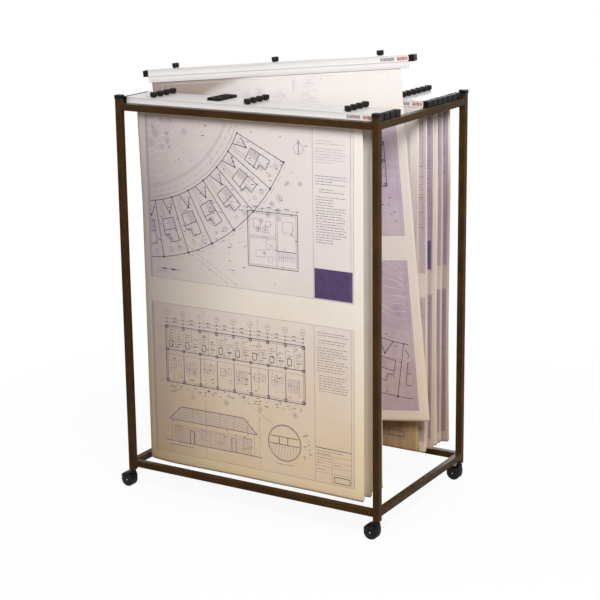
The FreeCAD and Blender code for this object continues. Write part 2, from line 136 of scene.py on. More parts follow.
UNDER = HANGER_TOP - WALL     # underside of a hanger's roof
KNOB_BASE = HANGER_TOP + KNOB_GAP
WHEEL_INNER = WEB / 2 + WHEEL_GAP
HALF_CASTOR = WHEEL_INNER + WHEEL_WIDTH
KNOB_PLACES = {"left": -KNOB_SPACING, "centre": 0.0, "right": KNOB_SPACING}
FRONT_HANGERS = tuple(n for n in sorted(frame["bodies"]) if n.startswith("front_hanger"))
REAR_HANGERS = tuple(n for n in sorted(frame["bodies"]) if n.startswith("rear_hanger"))
SEATED_HANGERS = FRONT_HANGERS + REAR_HANGERS
RAISED_HANGER = "raised_hanger"
CASTORS = tuple(n[:-len("_housing")] for n in sorted(frame["nodes"]) if n.endswith("_housing"))
JOINTS = {joint["name"]: joint for joint in frame["joints"]}
FRAME_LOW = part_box("left_end_frame")[0]
FRAME_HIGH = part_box("right_end_frame")[1]
SEATED_LOW, SEATED_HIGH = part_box(FRONT_HANGERS[0] + "_profiles")
HANGER_DEPTH = SEATED_HIGH.y - SEATED_LOW.y
HALF_PROFILE = (SEATED_HIGH.x - SEATED_LOW.x) / 2


# ---------------------------------------------------------------- settings
def colour_setting(name, description, default):
    return bpy.props.FloatVectorProperty(
        name=name, description=description, default=default, size=3, min=0.0, max=1.0,
        subtype="COLOR_GAMMA")


def length_setting(name, description, default, high=1.0):
    return bpy.props.FloatProperty(
        name=name, description=description, default=default, min=0.0, max=high, precision=4,
        subtype="DISTANCE", unit="LENGTH")


def count_setting(name, description, default, low, high):
    return bpy.props.IntProperty(name=name, description=description, default=default, min=low, max=high)


def power_setting(name, description, default):
    return bpy.props.FloatProperty(name=name, description=description, default=default, min=0.0, unit="POWER")


class RackFinish(bpy.types.PropertyGroup):
    """Colours of the rack"""
    frame: colour_setting("Frame", "Bronze brown powder coat of the tubes", (0.258, 0.180, 0.092))
    aluminium: colour_setting("Aluminium", "Satin anodised hanger profiles", (0.915, 0.905, 0.90))
    plastic: colour_setting("Plastic", "Knobs, lugs, caps and castor hoods", (0.062, 0.064, 0.056))
    tyre: colour_setting("Tyre", "Castor wheels", (0.060, 0.055, 0.050))
    steel: colour_setting("Steel", "Zinc-plated studs, nuts, stems and axles", (0.76, 0.75, 0.73))
    paper: colour_setting("Paper", "Margins and backs of the plans", (0.950, 0.935, 0.922))
    # Ageing together with painted warm shade: the plans' lower halves go toward this colour; their side edges
    # and blotches on their backs take it as ageing.
    aged_and_shaded: colour_setting("Aged paper", "Lower parts of the plans", (0.94, 0.865, 0.72))
    print_tint: colour_setting("Print tint", "Toned background inside a plan's borders", (0.825, 0.775, 0.875))
    # The tan pack's lower half goes toward this colour: browned paper together with painted warm shade.
    tan: colour_setting("Tan paper", "The pack of older, browned plans", (0.77, 0.655, 0.455))
    ink: colour_setting("Ink", "Bold lines of the plans", (0.235, 0.20, 0.35))
    faint_ink: colour_setting("Faint ink", "Fine lines of the plans", (0.53, 0.49, 0.60))
    pale_ink: colour_setting("Pale ink", "Faintest lines of the plans", (0.825, 0.79, 0.845))
    block: colour_setting("Block", "Solid printed block", (0.335, 0.27, 0.43))


class HangerLooks(bpy.types.PropertyGroup):
    """Small forms of the hangers"""
    edge: length_setting("Edge", "Rounding of the extruded profile's corners", 0.0005, 0.002)
    groove: length_setting("Groove", "Width of the grooves along the roof", 0.0014, 0.004)
    flutes: count_setting("Flutes", "Flutes round a knob", 11, 6, 30)
    flute_depth: length_setting("Flute depth", "Depth of a knob's flutes", 0.0012, 0.003)
    thread_pitch: length_setting("Thread pitch", "Pitch of the studs' thread", 0.0010, 0.002)
    label_start: length_setting("Label start", "Left end of the bare label, from the middle", 0.364)
    label_length: length_setting("Label length", "Length of the bare label", 0.098)


class PackLooks(bpy.types.PropertyGroup):
    """How the plans hang"""
    sheets: count_setting("Sheets", "Sheets in a seated pack", 4, 2, 8)
    raised_sheets: count_setting("Raised sheets", "Sheets in the raised hanger's pack", 5, 2, 8)
    thickness: length_setting("Thickness", "Thickness of a sheet", 0.00022, 0.001)
    width: length_setting("Width", "Width of a trimmed plan", 0.841, 2.0)
    raised_width: length_setting("Untrimmed width", "Width of the raised pack's untrimmed prints", 0.880, 2.0)
    fan_front: length_setting("Fan front", "Lower edge of the first sheet, behind the front face", 0.0030, 0.02)
    fan_back: length_setting("Fan back", "Lower edge of the last sheet, behind the front face", 0.0130, 0.03)
    wave: length_setting("Wave", "Height of the slow waves near the lower edge", 0.0030, 0.01)
    curl: length_setting("Curl", "How far the side edges curl back", 0.0045, 0.02)
    flare: length_setting("Flare", "How far the rear packs' right edges bend back and forth", 0.0115, 0.02)
    bow: length_setting("Bow", "How far the left part of a pack bows back", 0.0085, 0.02)
    fine_line: length_setting("Fine line", "Width of the plans' fine lines", 0.0010, 0.004)
    bold_line: length_setting("Bold line", "Width of the plans' bold lines", 0.0021, 0.006)


class CastorLooks(bpy.types.PropertyGroup):
    """Small forms of the castors"""
    shoulder: length_setting("Shoulder", "Rounding of the tread's outer edge", 0.0060, 0.01)
    dish: length_setting("Dish", "Depth of the ring pressed into a wheel's face", 0.0012, 0.004)
    steps: count_setting("Steps", "Facets round a wheel", 64, 24, 160)


class StageSettings(bpy.types.PropertyGroup):
    """Floor, lamps and camera"""
    floor: colour_setting("Floor", "Plain pale floor, as it lights the rack from below", (0.74, 0.66, 0.56))
    floor_glow: bpy.props.FloatProperty(
        name="Floor glow", description="Share of plain white that the camera sees on the floor",
        default=0.92, min=0.0, max=1.0, subtype="FACTOR")
    key_power: power_setting("Key lamp", "Large soft lamp at the upper right front", 138.0)
    fill_power: power_setting("Fill lamp", "Weak lamp at the left front", 5.0)
    back_power: power_setting("Back lamp", "Lamp behind the rack", 60.0)
    side_power: power_setting("Side lamp", "Lamp at the left rear", 42.0)
    dome: bpy.props.FloatProperty(
        name="Dome", description="Strength of the even light from all round", default=0.28, min=0.0, max=2.0)
    lens: bpy.props.FloatProperty(
        name="Lens", description="Focal length of the camera", default=97.74, min=10.0, unit="CAMERA")
    lens_shift: bpy.props.FloatProperty(
        name="Lens shift", description="Upright shift of the lens, as a share of the picture", default=-0.05)


SETTINGS = {
    "rack_finish": RackFinish,
    "rack_hangers": HangerLooks,
    "rack_packs": PackLooks,
    "rack_castors": CastorLooks,
    "rack_stage": StageSettings,
}


# ---------------------------------------------------------------- outlines and solids
class Shape:
    """Points and faces of one piece, gathered part by part. Each face keeps the number of its finish."""

    def __init__(self):
        self.points = []
        self.faces = []
        self.finishes = []

    def add(self, part, finish=0, place=None):
        points, faces = part
        start = len(self.points)
        if place is not None:
            points = [place @ Vector(p) for p in points]
        self.points += [tuple(p) for p in points]
        self.faces += [[start + n for n in face] for face in faces]
        self.finishes += finish if isinstance(finish, list) else [finish] * len(faces)
        return self


def arc(centre, radius, start, end, steps):
    """Points on an arc between two angles in degrees."""
    angles = [math.radians(start + (end - start) * n / steps) for n in range(steps + 1)]
    return [(centre[0] + radius * math.cos(a), centre[1] + radius * math.sin(a)) for a in angles]


def rounded(outline, radius, steps=3):
    """The same closed outline with its corners rounded, by less where its sides are short."""
    result = []
    for n, corner in enumerate(outline):
        here = Vector(corner)
        back = Vector(outline[n - 1]) - here
        on = Vector(outline[(n + 1) % len(outline)]) - here
        if back.length < 1e-7 or on.length < 1e-7 or abs(back.angle(on) - math.pi) < 0.35:
            result.append(tuple(here))
            continue
        cut = min(radius, 0.45 * back.length, 0.45 * on.length)
        first = here + back.normalized() * cut
        last = here + on.normalized() * cut
        for step in range(steps + 1):
            t = step / steps
            result.append(tuple((1 - t) ** 2 * first + 2 * t * (1 - t) * here + t * t * last))
    return result


def lofted(rings):
    """Closed solid through a row of rings that have the same number of points."""
    count, last = len(rings[0]), len(rings) - 1
    faces = [[n * count + m, n * count + k, (n + 1) * count + k, (n + 1) * count + m]
             for n in range(last) for m, k in zip(range(count), [*range(1, count), 0])]
    faces += [list(range(count)), list(range(last * count, (last + 1) * count))]
    return [point for ring in rings for point in ring], faces


def prism(outline, start, end, axis="X"):
    """Closed outline extruded along an axis; its two numbers are the other two axes, in order."""
    spots = {"X": lambda t, a, b: (t, a, b), "Y": lambda t, a, b: (a, t, b), "Z": lambda t, a, b: (a, b, t)}
    return lofted([[spots[axis](t, a, b) for a, b in outline] for t in (start, end)])


def block(x0, x1, y0, y1, z0, z1):
    """Plain box between two corners, as a part of a larger piece."""
    return prism([(y0, z0), (y1, z0), (y1, z1), (y0, z1)], x0, x1)


def turned(outline, steps, closed=False, reach=None):
    """Solid turned about Z from (radius, height) points. An open outline ends on the axis.
    reach(turn, radius, height) may change the radius at a share of the turn."""
    points = []
    rings = []
    for radius, height in outline:
        start = len(points)
        if radius == 0:
            points.append((0.0, 0.0, height))
            rings.append([start] * steps)
            continue
        for n in range(steps):
            here = reach(n / steps, radius, height) if reach else radius
            angle = 2 * math.pi * n / steps
            points.append((here * math.cos(angle), here * math.sin(angle), height))
        rings.append(list(range(start, start + steps)))
    faces = []
    pairs = list(zip(rings, rings[1:]))
    if closed:
        pairs.append((rings[-1], rings[0]))
    for low, high in pairs:
        for n in range(steps):
            m = (n + 1) % steps
            faces.append(list(dict.fromkeys([low[n], low[m], high[m], high[n]])))
    return points, faces


def threaded(radius, pitch, start, end, steps=20, rows=4, depth=0.00035):
    """Threaded rod along Z: a round bar whose radius follows a helix."""
    count = max(2, int((end - start) / pitch * rows))
    heights = [start + (end - start) * n / count for n in range(count + 1)]

    def reach(turn, at_radius, height):
        phase = (height / pitch - turn) % 1.0
        return at_radius - depth * (1 - abs(2 * phase - 1))

    outline = [(0, start)] + [(radius, h) for h in heights] + [(0, end)]
    return turned(outline, steps, reach=reach)


def make_piece(name, shape, body, finishes, place=None, crease=35.0):
    """One object from a shape: faces outward, smooth between creases, riding on a body."""
    mesh = bpy.data.meshes.new(name)
    mesh.from_pydata(shape.points, [], shape.faces)
    for finish in finishes:
        mesh.materials.append(finish)
    mesh.polygons.foreach_set("material_index", shape.finishes)
    work = bmesh.new()
    work.from_mesh(mesh)
    bmesh.ops.recalc_face_normals(work, faces=work.faces)
    work.to_mesh(mesh)
    work.free()
    mesh.polygons.foreach_set("use_smooth", [True] * len(mesh.polygons))
    mesh.set_sharp_from_angle(angle=math.radians(crease))
    return place_piece(name, mesh, body, place)


def place_piece(name, mesh, body, place=None):
    piece = bpy.data.objects.new(name, mesh)
    bpy.context.scene.collection.objects.link(piece)
    if place is not None:
        piece.matrix_world = place
    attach(piece, body)
    return piece


def soften(piece, width, segments=2):
    """Rounds a piece's sharp edges."""
    bevel = piece.modifiers.new("soft edges", "BEVEL")
    bevel.width = width
    bevel.segments = segments
    bevel.limit_method = "ANGLE"
    bevel.angle_limit = math.radians(50)
    return piece


# ---------------------------------------------------------------- finishes
def linear(colour):
    """A colour as seen on a screen, in the light values that a shader takes."""
    values = [c / 12.92 if c <= 0.04045 else ((c + 0.055) / 1.055) ** 2.4 for c in colour]
    return (*values, 1.0)


class Finish:
    """A material and short calls for the nodes that the finishes share."""

    def __init__(self, name, roughness, metallic=0.0, specular=0.5):
        self.material = bpy.data.materials.new(name)
        self.material.use_nodes = True
        self.tree = self.material.node_tree
        self.surface = self.tree.nodes["Principled BSDF"]
        self.surface.inputs["Roughness"].default_value = roughness
        self.surface.inputs["Metallic"].default_value = metallic
        self.surface.inputs["Specular IOR Level"].default_value = specular
        self.place = self.node("ShaderNodeTexCoord").outputs["Object"]

    def node(self, kind, **values):
        made = self.tree.nodes.new(kind)
        for name, value in values.items():
            setattr(made, name, value)
        return made

    def feed(self, socket, value):
        """Links an output to an input, or sets a plain value on it."""
        if isinstance(value, bpy.types.NodeSocket):
            self.tree.links.new(value, socket)
        else:
            socket.default_value = value

    def noise(self, scale, detail=3.0, stretch=(1, 1, 1), place=None):
        """Noise with this many spots to a metre, drawn out along the axes with a small stretch."""
        mapping = self.node("ShaderNodeMapping")
        mapping.inputs["Scale"].default_value = stretch
        self.feed(mapping.inputs["Vector"], place or self.place)
        texture = self.node("ShaderNodeTexNoise")
        texture.inputs["Scale"].default_value = scale
        texture.inputs["Detail"].default_value = detail
        self.feed(texture.inputs["Vector"], mapping.outputs["Vector"])
        return texture.outputs["Fac"]

    def remap(self, value, low, high, out_low=0.0, out_high=1.0):
        made = self.node("ShaderNodeMapRange", interpolation_type="SMOOTHSTEP")
        for socket, number in zip(made.inputs, (value, low, high, out_low, out_high)):
            self.feed(socket, number)
        return made.outputs["Result"]

    def maths(self, operation, first, second=0.0):
        made = self.node("ShaderNodeMath", operation=operation)
        self.feed(made.inputs[0], first)
        self.feed(made.inputs[1], second)
        return made.outputs[0]

    def times(self, *values):
        """All the values multiplied, from the first on."""
        result = values[0]
        for value in values[1:]:
            result = self.maths("MULTIPLY", result, value)
        return result

    def axes(self, place=None):
        """The three numbers of a place."""
        parts = self.node("ShaderNodeSeparateXYZ")
        self.feed(parts.inputs[0], self.place if place is None else place)
        return parts.outputs

    def inside(self, value, low, high, soft):
        """1 between two values and 0 outside them, with soft limits."""
        return self.times(self.remap(value, low - soft, low + soft),
                          self.remap(value, high - soft, high + soft, 1.0, 0.0))

    def mix(self, share, first, second, blend="MIX"):
        made = self.node("ShaderNodeMix", data_type="RGBA", blend_type=blend)
        self.feed(made.inputs["Factor"], share)
        self.feed(made.inputs["A"], first)
        self.feed(made.inputs["B"], second)
        return made.outputs["Result"]

    def colour(self, value):
        self.feed(self.surface.inputs["Base Color"], value)

    def roughness(self, value):
        self.feed(self.surface.inputs["Roughness"], value)

    def bump(self, height, distance, strength=1.0, under=None):
        made = self.node("ShaderNodeBump")
        made.inputs["Strength"].default_value = strength
        made.inputs["Distance"].default_value = distance
        self.feed(made.inputs["Height"], height)
        if under is not None:
            self.feed(made.inputs["Normal"], under)
        self.feed(self.surface.inputs["Normal"], made.outputs["Normal"])
        return made.outputs["Normal"]


def shade(colour, factor):
    """A screen colour made darker or lighter, ready for a shader."""
    return linear([min(1.0, c * factor) for c in colour])


def kept(maker):
    """Makes a material the first time it is asked for, and gives the same one after that."""
    made = {}

    def get(*details):
        if details not in made:
            made[details] = maker(*details)
        return made[details]

    return get


def finish_colours():
    return bpy.context.scene.rack_finish


def mottled(f, base, spots, limits, shades, grain):
    """Colours a finish between two shades of its base by noise, and gives it a grain of
    (noise, depth, strength)."""
    noise, depth, strength = grain
    dark, pale = (shade(base, factor) for factor in shades)
    f.colour(f.mix(f.remap(f.noise(*spots), *limits), dark, pale))
    f.bump(f.noise(*noise), depth, strength)
    return f.material


@kept
def frame_paint():
    """Satin bronze powder coat with a fine orange peel, dusty near the floor, rubbed where hangers slide."""
    f = Finish("bronze powder coat", 0.42, specular=0.05)
    base = finish_colours().frame
    cloudy = f.remap(f.noise(14, 4), 0.35, 0.7)
    colour = f.mix(cloudy, shade(base, 0.9), shade(base, 1.08))
    fleck = f.remap(f.noise(1500, 2), 0.6, 0.75, 0.0, 0.25)
    colour = f.mix(fleck, colour, shade(base, 1.6))
    height = f.axes()["Z"]
    scuffs = f.remap(f.noise(90, 5, (1, 1, 6)), 0.58, 0.66)
    colour = f.mix(f.times(scuffs, f.remap(height, 0.16, 0.05), 0.35), colour, shade(base, 1.9))
    on_top = f.remap(height, RAIL_TOP - 0.0007, RAIL_TOP - 0.0001)
    under_posts = f.remap(height, RAIL_TOP + 0.0006, RAIL_TOP + 0.0001)
    rubbed = f.remap(f.noise(260, 3, (0.1, 1, 1)), 0.50, 0.62)
    f.colour(f.mix(f.times(on_top, under_posts, rubbed, 0.6), colour, linear((0.56, 0.53, 0.49))))
    f.roughness(f.remap(f.noise(60, 3), 0.3, 0.7, 0.33, 0.44))
    f.bump(f.noise(620, 2), 0.00012, 0.6)
    return f.material


@kept
def aluminium():
    """Satin anodised aluminium with fine drawing lines, a little darkening in patches along the roof's edges,
    and a painted shadow line along the groove between the label channel and the lower lip.
    """
    f = Finish("anodised aluminium", 0.38, metallic=0.35)
    base = finish_colours().aluminium
    lines = f.noise(1600, 2, (0.01, 1, 1))
    broad = f.noise(40, 3, (0.05, 1, 1))
    colour = f.mix(f.remap(lines, 0.3, 0.7), shade(base, 0.985), shade(base, 1.015))
    colour = f.mix(f.remap(broad, 0.45, 0.75, 0.0, 0.2), colour, shade(base, 0.95))
    _, back, up = f.axes()
    # Darker in patches along the roof's front and back edges.
    edge_darkening = f.times(f.maths("SUBTRACT", 1.0, f.inside(back, 0.0022, HANGER_DEPTH - 0.0022, 0.0018)),
                    f.remap(up, HANGER_TOP - 0.0015, HANGER_TOP - 0.0005),
                    f.remap(f.noise(26, 4, (0.3, 1, 1)), 0.25, 0.6, 0.10, 0.38))
    # Painted shadow line: a darker band round the groove between the label channel and the lower lip.
    wall = f.times(f.inside(up, -0.0018, 0.0012, 0.0005), 0.30)
    f.colour(f.mix(f.maths("MAXIMUM", edge_darkening, wall), colour, shade(base, 0.50)))
    f.roughness(f.remap(broad, 0.3, 0.7, 0.34, 0.42))
    f.bump(lines, 0.00001, 0.3)
    return f.material


@kept
def black_plastic(worn=1.0):
    """Black moulded plastic with a fine grain and a little dust on it, greyer by the factor worn, which the
    knobs' flute ridges take as a painted highlight.
    """
    f = Finish("black moulded plastic", 0.42, specular=0.14)
    f.roughness(f.remap(f.noise(300, 3), 0.3, 0.7, 0.38, 0.55))
    return mottled(f, finish_colours().plastic, (120, 5), (0.5, 0.8, 0.0, 0.5), (0.8 * worn, 1.6 * worn),
                   ((1900, 2), 0.00008, 0.5))


@kept
def castor_tyre():
    """Hard black tyre, greyer and duller where it runs."""
    f = Finish("castor tyre", 0.30, specular=0.20)
    base = finish_colours().tyre
    worn = f.remap(f.noise(180, 5), 0.45, 0.75)
    f.colour(f.mix(f.times(worn, 0.55), shade(base, 0.9), shade(base, 2.0)))
    f.roughness(f.remap(worn, 0.0, 1.0, 0.34, 0.62))
    f.bump(f.noise(700, 3), 0.0001, 0.4)
    return f.material


@kept
def steel():
    """Bright zinc-plated steel with faint turning marks."""
    f = Finish("zinc-plated steel", 0.3, metallic=1.0)
    f.roughness(f.remap(f.noise(700, 3), 0.3, 0.7, 0.22, 0.42))
    return mottled(f, finish_colours().steel, (260, 4), (0.35, 0.7), (0.86, 1.05),
                   ((1200, 2, (1, 1, 4)), 0.00003, 0.5))


@kept
def label_film():
    """Bare label strip of satin film."""
    return mottled(Finish("label film", 0.32), (0.93, 0.925, 0.915), (60, 4), (0.4, 0.7), (1.0, 0.94),
                   ((500, 2), 0.00003, 0.4))


@kept
def label_field(red):
    """Printed field of a label: red, or grey."""
    f = Finish("red label field" if red else "grey label field", 0.4)
    base = (0.66, 0.50, 0.47) if red else (0.58, 0.55, 0.57)
    return mottled(f, base, (190, 3), (0.38, 0.62), (0.88, 1.25), ((900, 2), 0.00003, 0.4))


@kept
def plan_paper(tint, age_and_lower_shade, tan, panel_top, panel_right, shade_dimming, upper_left_shadow):
    """Printed face of a plan. tint is how strongly the panels are toned; age is how brown the lower half goes,
    ageing together with a painted warm shade toward the bottom; dull is how far painted shade greys the sheet,
    most toward the bottom; stain is how dark a painted shadow makes its upper left part. Painted shade also
    darkens the left part of the sheet."""
    f = Finish("printed plan paper", 0.85, specular=0.2)
    colours = finish_colours()
    across, up, _ = f.axes(f.node("ShaderNodeTexCoord").outputs["UV"])
    low_half = f.remap(up, 0.70, -0.04)
    # Painted warm shade together with ageing: the lower half goes toward the aged colour, unevenly.
    lower_shade_share = f.times(f.maths("ADD", low_half, f.remap(f.noise(7, 5), 0.3, 0.8, -0.10, 0.14)), age_and_lower_shade)
    colour = f.mix(lower_shade_share, linear(colours.paper), linear(colours.tan if tan else colours.aged_and_shaded))
    panels = f.maths("ADD", f.inside(up, 1 - LOWER_PANEL[1], 1 - LOWER_PANEL[0], 0.0012),
                     f.inside(up, 1 - UPPER_PANEL[1], 1 - panel_top, 0.0012))
    worn = f.times(f.remap(f.noise(5, 4), 0.3, 0.75, 0.7, 1.1),
                   f.remap(f.noise(60, 3, (0.05, 1, 1)), 0.3, 0.7, 0.9, 1.08))
    # Partly painted shade: the panels' tint is made stronger over the left part of the sheet; the rest of its
    # wandering is uneven print.
    worn = f.maths("ADD", worn, f.times(f.remap(across, 0.0, 0.30, 1.0, 0.0), 0.5))
    toned = f.times(panels, f.inside(across, PANEL_LEFT, panel_right, 0.0016), worn, tint)
    colour = f.mix(toned, colour, linear(colours.print_tint), "MULTIPLY")
    strip = f.inside(across, PANEL_LEFT - 0.003, PANEL_LEFT + 0.009, 0.003)
    colour = f.mix(f.times(panels, strip, 0.5), colour, linear((0.66, 0.63, 0.78)))
    # Painted shade: the left part of the sheet is darker, more so below its top, and warmer toward the bottom.
    shadowed = f.mix(low_half, linear((0.46, 0.405, 0.41)), linear((0.47, 0.385, 0.25)))
    depth = f.remap(up, 0.96, 0.72, 0.38, 0.52)
    colour = f.mix(f.times(f.remap(across, 0.0, 0.54, 1.0, 0.0), depth), colour, shadowed)
    # Painted shade: the sheet is greyed, less near its top, and where no shadow patch is painted the shade
    # breaks into long upright streaks.
    if shade_dimming:
        dimmed_toward_bottom = f.remap(up, 0.92, 0.74, 0.3 * shade_dimming, shade_dimming)
        colour = f.mix(dimmed_toward_bottom, colour, linear((0.76, 0.69, 0.69)), "MULTIPLY")
        if not upper_left_shadow:
            shade_streaks = f.remap(f.noise(48, 4, (1, 1, 0.05)), 0.40, 0.70, 0.0, 0.55 * shade_dimming)
            colour = f.mix(shade_streaks, colour, linear((0.66, 0.58, 0.62)), "MULTIPLY")
    # Painted shadow: a darker patch over the upper left part, widest at the top and narrowing downward.
    if upper_left_shadow:
        reach = f.maths("ADD", across, f.times(f.maths("SUBTRACT", 1.0, up), 4.2))
        reach = f.maths("ADD", reach, f.remap(f.noise(6, 3), 0.2, 0.8, -0.04, 0.04))
        shadow_patch = f.times(f.remap(reach, 0.41, 0.53, 1.0, 0.0), upper_left_shadow)
        colour = f.mix(shadow_patch, colour, linear((0.60, 0.52, 0.48)))
    speckle = f.remap(f.noise(900, 2), 0.62, 0.72, 0.0, 0.14)
    colour = f.mix(speckle, colour, shade(colours.print_tint, 0.8))
    edge = f.maths("SUBTRACT", 1.0, f.inside(across, 0.004, 0.996, 0.008))
    f.colour(f.mix(f.times(edge, 0.35), colour, shade(colours.aged_and_shaded, 0.86)))
    cockle = f.bump(f.noise(13, 3, (1, 1, 0.4)), 0.0015, 0.4)
    f.bump(f.noise(1400, 3), 0.00006, 0.4, under=cockle)
    return f.material


@kept
def plain_paper(tan):
    """Back and edges of a plan."""
    f = Finish("plain plan paper", 0.85, specular=0.25)
    colours = finish_colours()
    fresh = colours.aged_and_shaded if tan else colours.paper
    blotches = f.remap(f.noise(7, 5), 0.3, 0.75)
    colour = f.mix(f.times(blotches, 0.3), shade(fresh, 0.97), shade(colours.aged_and_shaded, 0.97))
    fibres = f.remap(f.noise(700, 3, (1, 1, 0.3)), 0.6, 0.75, 0.0, 0.12)
    f.colour(f.mix(fibres, colour, shade(fresh, 0.8)))
    cockle = f.bump(f.noise(16, 3, (1, 1, 0.5)), 0.0012, 0.35)
    f.bump(f.noise(1400, 3), 0.00006, 0.4, under=cockle)
    return f.material


@kept
def plan_ink(kind):
    """Violet-grey print, uneven as a dyeline is: pale, fine or bold lines, or the solid block."""
    colours = finish_colours()
    solid = kind == "block"
    base = {"fine": colours.faint_ink, "bold": colours.ink, "block": colours.block, "pale": colours.pale_ink}
    return mottled(Finish(kind + " print", 0.75, specular=0.25), base[kind], (60 if solid else 22, 4),
                   (0.3, 0.8), (0.93, 1.08 if solid else 1.25), ((900, 2), 0.00004, 0.3))


# ---------------------------------------------------------------- frame
def weld_bead(corner, along, out, up):
    """Rippled fillet weld in an inner corner. along is its length; out and up lead away from the corner."""
    steps, ripples, sunk = 26, 11, 0.0004
    rings = []
    for n in range(steps + 1):
        share = n / steps
        ripple = 1.0 + 0.14 * math.sin(2 * math.pi * ripples * share)
        taper = min(1.0, 8 * min(share, 1 - share) + 0.3)
        reach = WELD * ripple * taper
        base = corner + along * share
        rings.append([base + out * x + up * z for x, z in (
            (-sunk, -sunk), (reach, -sunk), (0.62 * reach, 0.38 * reach), (0.38 * reach, 0.62 * reach),
            (-sunk, reach))])
    return lofted(rings)


def frame_welds():
    """Small welds above and below each rail, where it meets a post."""
    shape = Shape()
    inset = 0.0012
    level, deep = Vector((1, 0, 0)), Vector((0, 1, 0))
    length = TUBE - 2 * inset
    for rail in ("front_top_rail", "rear_top_rail", "front_bottom_rail", "rear_bottom_rail"):
        low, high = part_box(rail)
        inner, inward = (FRAME_LOW.y + TUBE, 1) if rail.startswith("front") else (FRAME_HIGH.y - TUBE, -1)
        starts = [(low.x, low.y + inset, deep, level), (high.x, low.y + inset, deep, -level)]
        starts += [(x + inset, inner, level, deep * inward) for x in (FRAME_LOW.x, FRAME_HIGH.x - TUBE)]
        for x, y, along, out in starts:
            for z, up in ((low.z, -1), (high.z, 1)):
                shape.add(weld_bead(Vector((x, y, z)), along * length, out, Vector((0, 0, up))))
    return shape


class RACK_OT_frame(bpy.types.Operator):
    """Paint the tube frame and its caps, and lay the welds"""
    bl_idname = "rack.frame"
    bl_label = "Frame"

    def execute(self, context):
        for name in frame["record"]["behaviour"]["bodies"]["frame"]:
            finish = black_plastic() if name == "post_caps" else frame_paint()
            node = frame["nodes"][name]
            node.data.materials.clear()
            node.data.materials.append(finish)
        make_piece("frame_welds", frame_welds(), "frame", [frame_paint()], crease=60)
        return {"FINISHED"}


# ---------------------------------------------------------------- castors
def castor_hood():
    """Moulded hood over both wheels: a half ring, crowned across, that narrows and thins toward its ends."""
    inner = WHEEL_RADIUS + HOOD_GAP
    steps, across = 44, 14
    turns = [math.pi * k / across for k in range(across + 1)]
    rings = []
    for n in range(steps + 1):
        angle = math.pi * n / steps
        lift = math.sin(angle)
        thick = HOOD_WALL * (0.25 + 0.75 * min(1.0, 1.6 * lift))
        reach = HALF_CASTOR * (0.40 + 0.60 * min(1.0, 1.4 * lift) ** 0.8)
        section = [(inner + thick * math.sin(t) ** 0.55, -reach * math.cos(t)) for t in turns]
        rings.append([(r * math.cos(angle), y, r * math.sin(angle)) for r, y in section])
    return lofted(rings)


def castor_web():
    """Web between the wheels, flat at its lower edge."""
    radius = WHEEL_RADIUS + HOOD_GAP + 0.0003
    low = -WHEEL_RADIUS / 2
    angle = math.degrees(math.asin(low / radius))
    outline = arc((0, 0), radius, angle, 180 - angle, 44)
    return prism(rounded(outline, 0.001), -WEB / 2, WEB / 2, "Y")


def castor_wheel(looks):
    """Wheel turned about its axle: rounded tread, a pressed ring in the face and a boss round the axle.
    Heights are counted from the wheel's inner face."""
    shoulder, face = looks.shoulder, WHEEL_WIDTH
    bore = AXLE_RADIUS + RUNNING_FIT
    edge = arc((WHEEL_RADIUS - shoulder, face - 0.0014 - shoulder), shoulder, 0, 80, 10)
    tread = [(bore, 0.0), (WHEEL_RADIUS - 0.001, 0.0), (WHEEL_RADIUS, 0.001)] + edge
    tread += [(radius, face - sunk) for radius, sunk in (
        (0.0150, 0.0009), (0.0142, 0.0007), (0.0136, looks.dish + 0.0004), (0.0112, looks.dish + 0.0002),
        (0.0106, 0.0003), (0.0085, 0), (0.0072, 0.0002), (0.0064, 0.0010), (0.0052, 0.0010),
        (0.0048, 0.0002), (bore, 0.0002))]
    return turned(tread, looks.steps, closed=True)


def castor_neck(low, high):
    """Round neck between the hood and the collar."""
    return turned([(0, low), (NECK_RADIUS + 0.002, low), (NECK_RADIUS + 0.0012, low + 0.0016),
                   (NECK_RADIUS, low + 0.0036), (NECK_RADIUS, high - 0.0006), (NECK_RADIUS - 0.0006, high),
                   (0, high)], 40)


def castor_pin():
    """Axle with domed ends."""
    end = HALF_CASTOR - WHEEL_GAP
    half = [(AXLE_RADIUS, end - 0.0004), (0.0016, end + 0.0004), (0, end + 0.0006)]
    return turned([(radius, -height) for radius, height in reversed(half)] + half, 24)


def hexagon(across, start, end):
    corner = across / math.sqrt(3)
    return prism(rounded(arc((0, 0), corner, 0, 300, 5), 0.0006, 2), start, end, "Z")


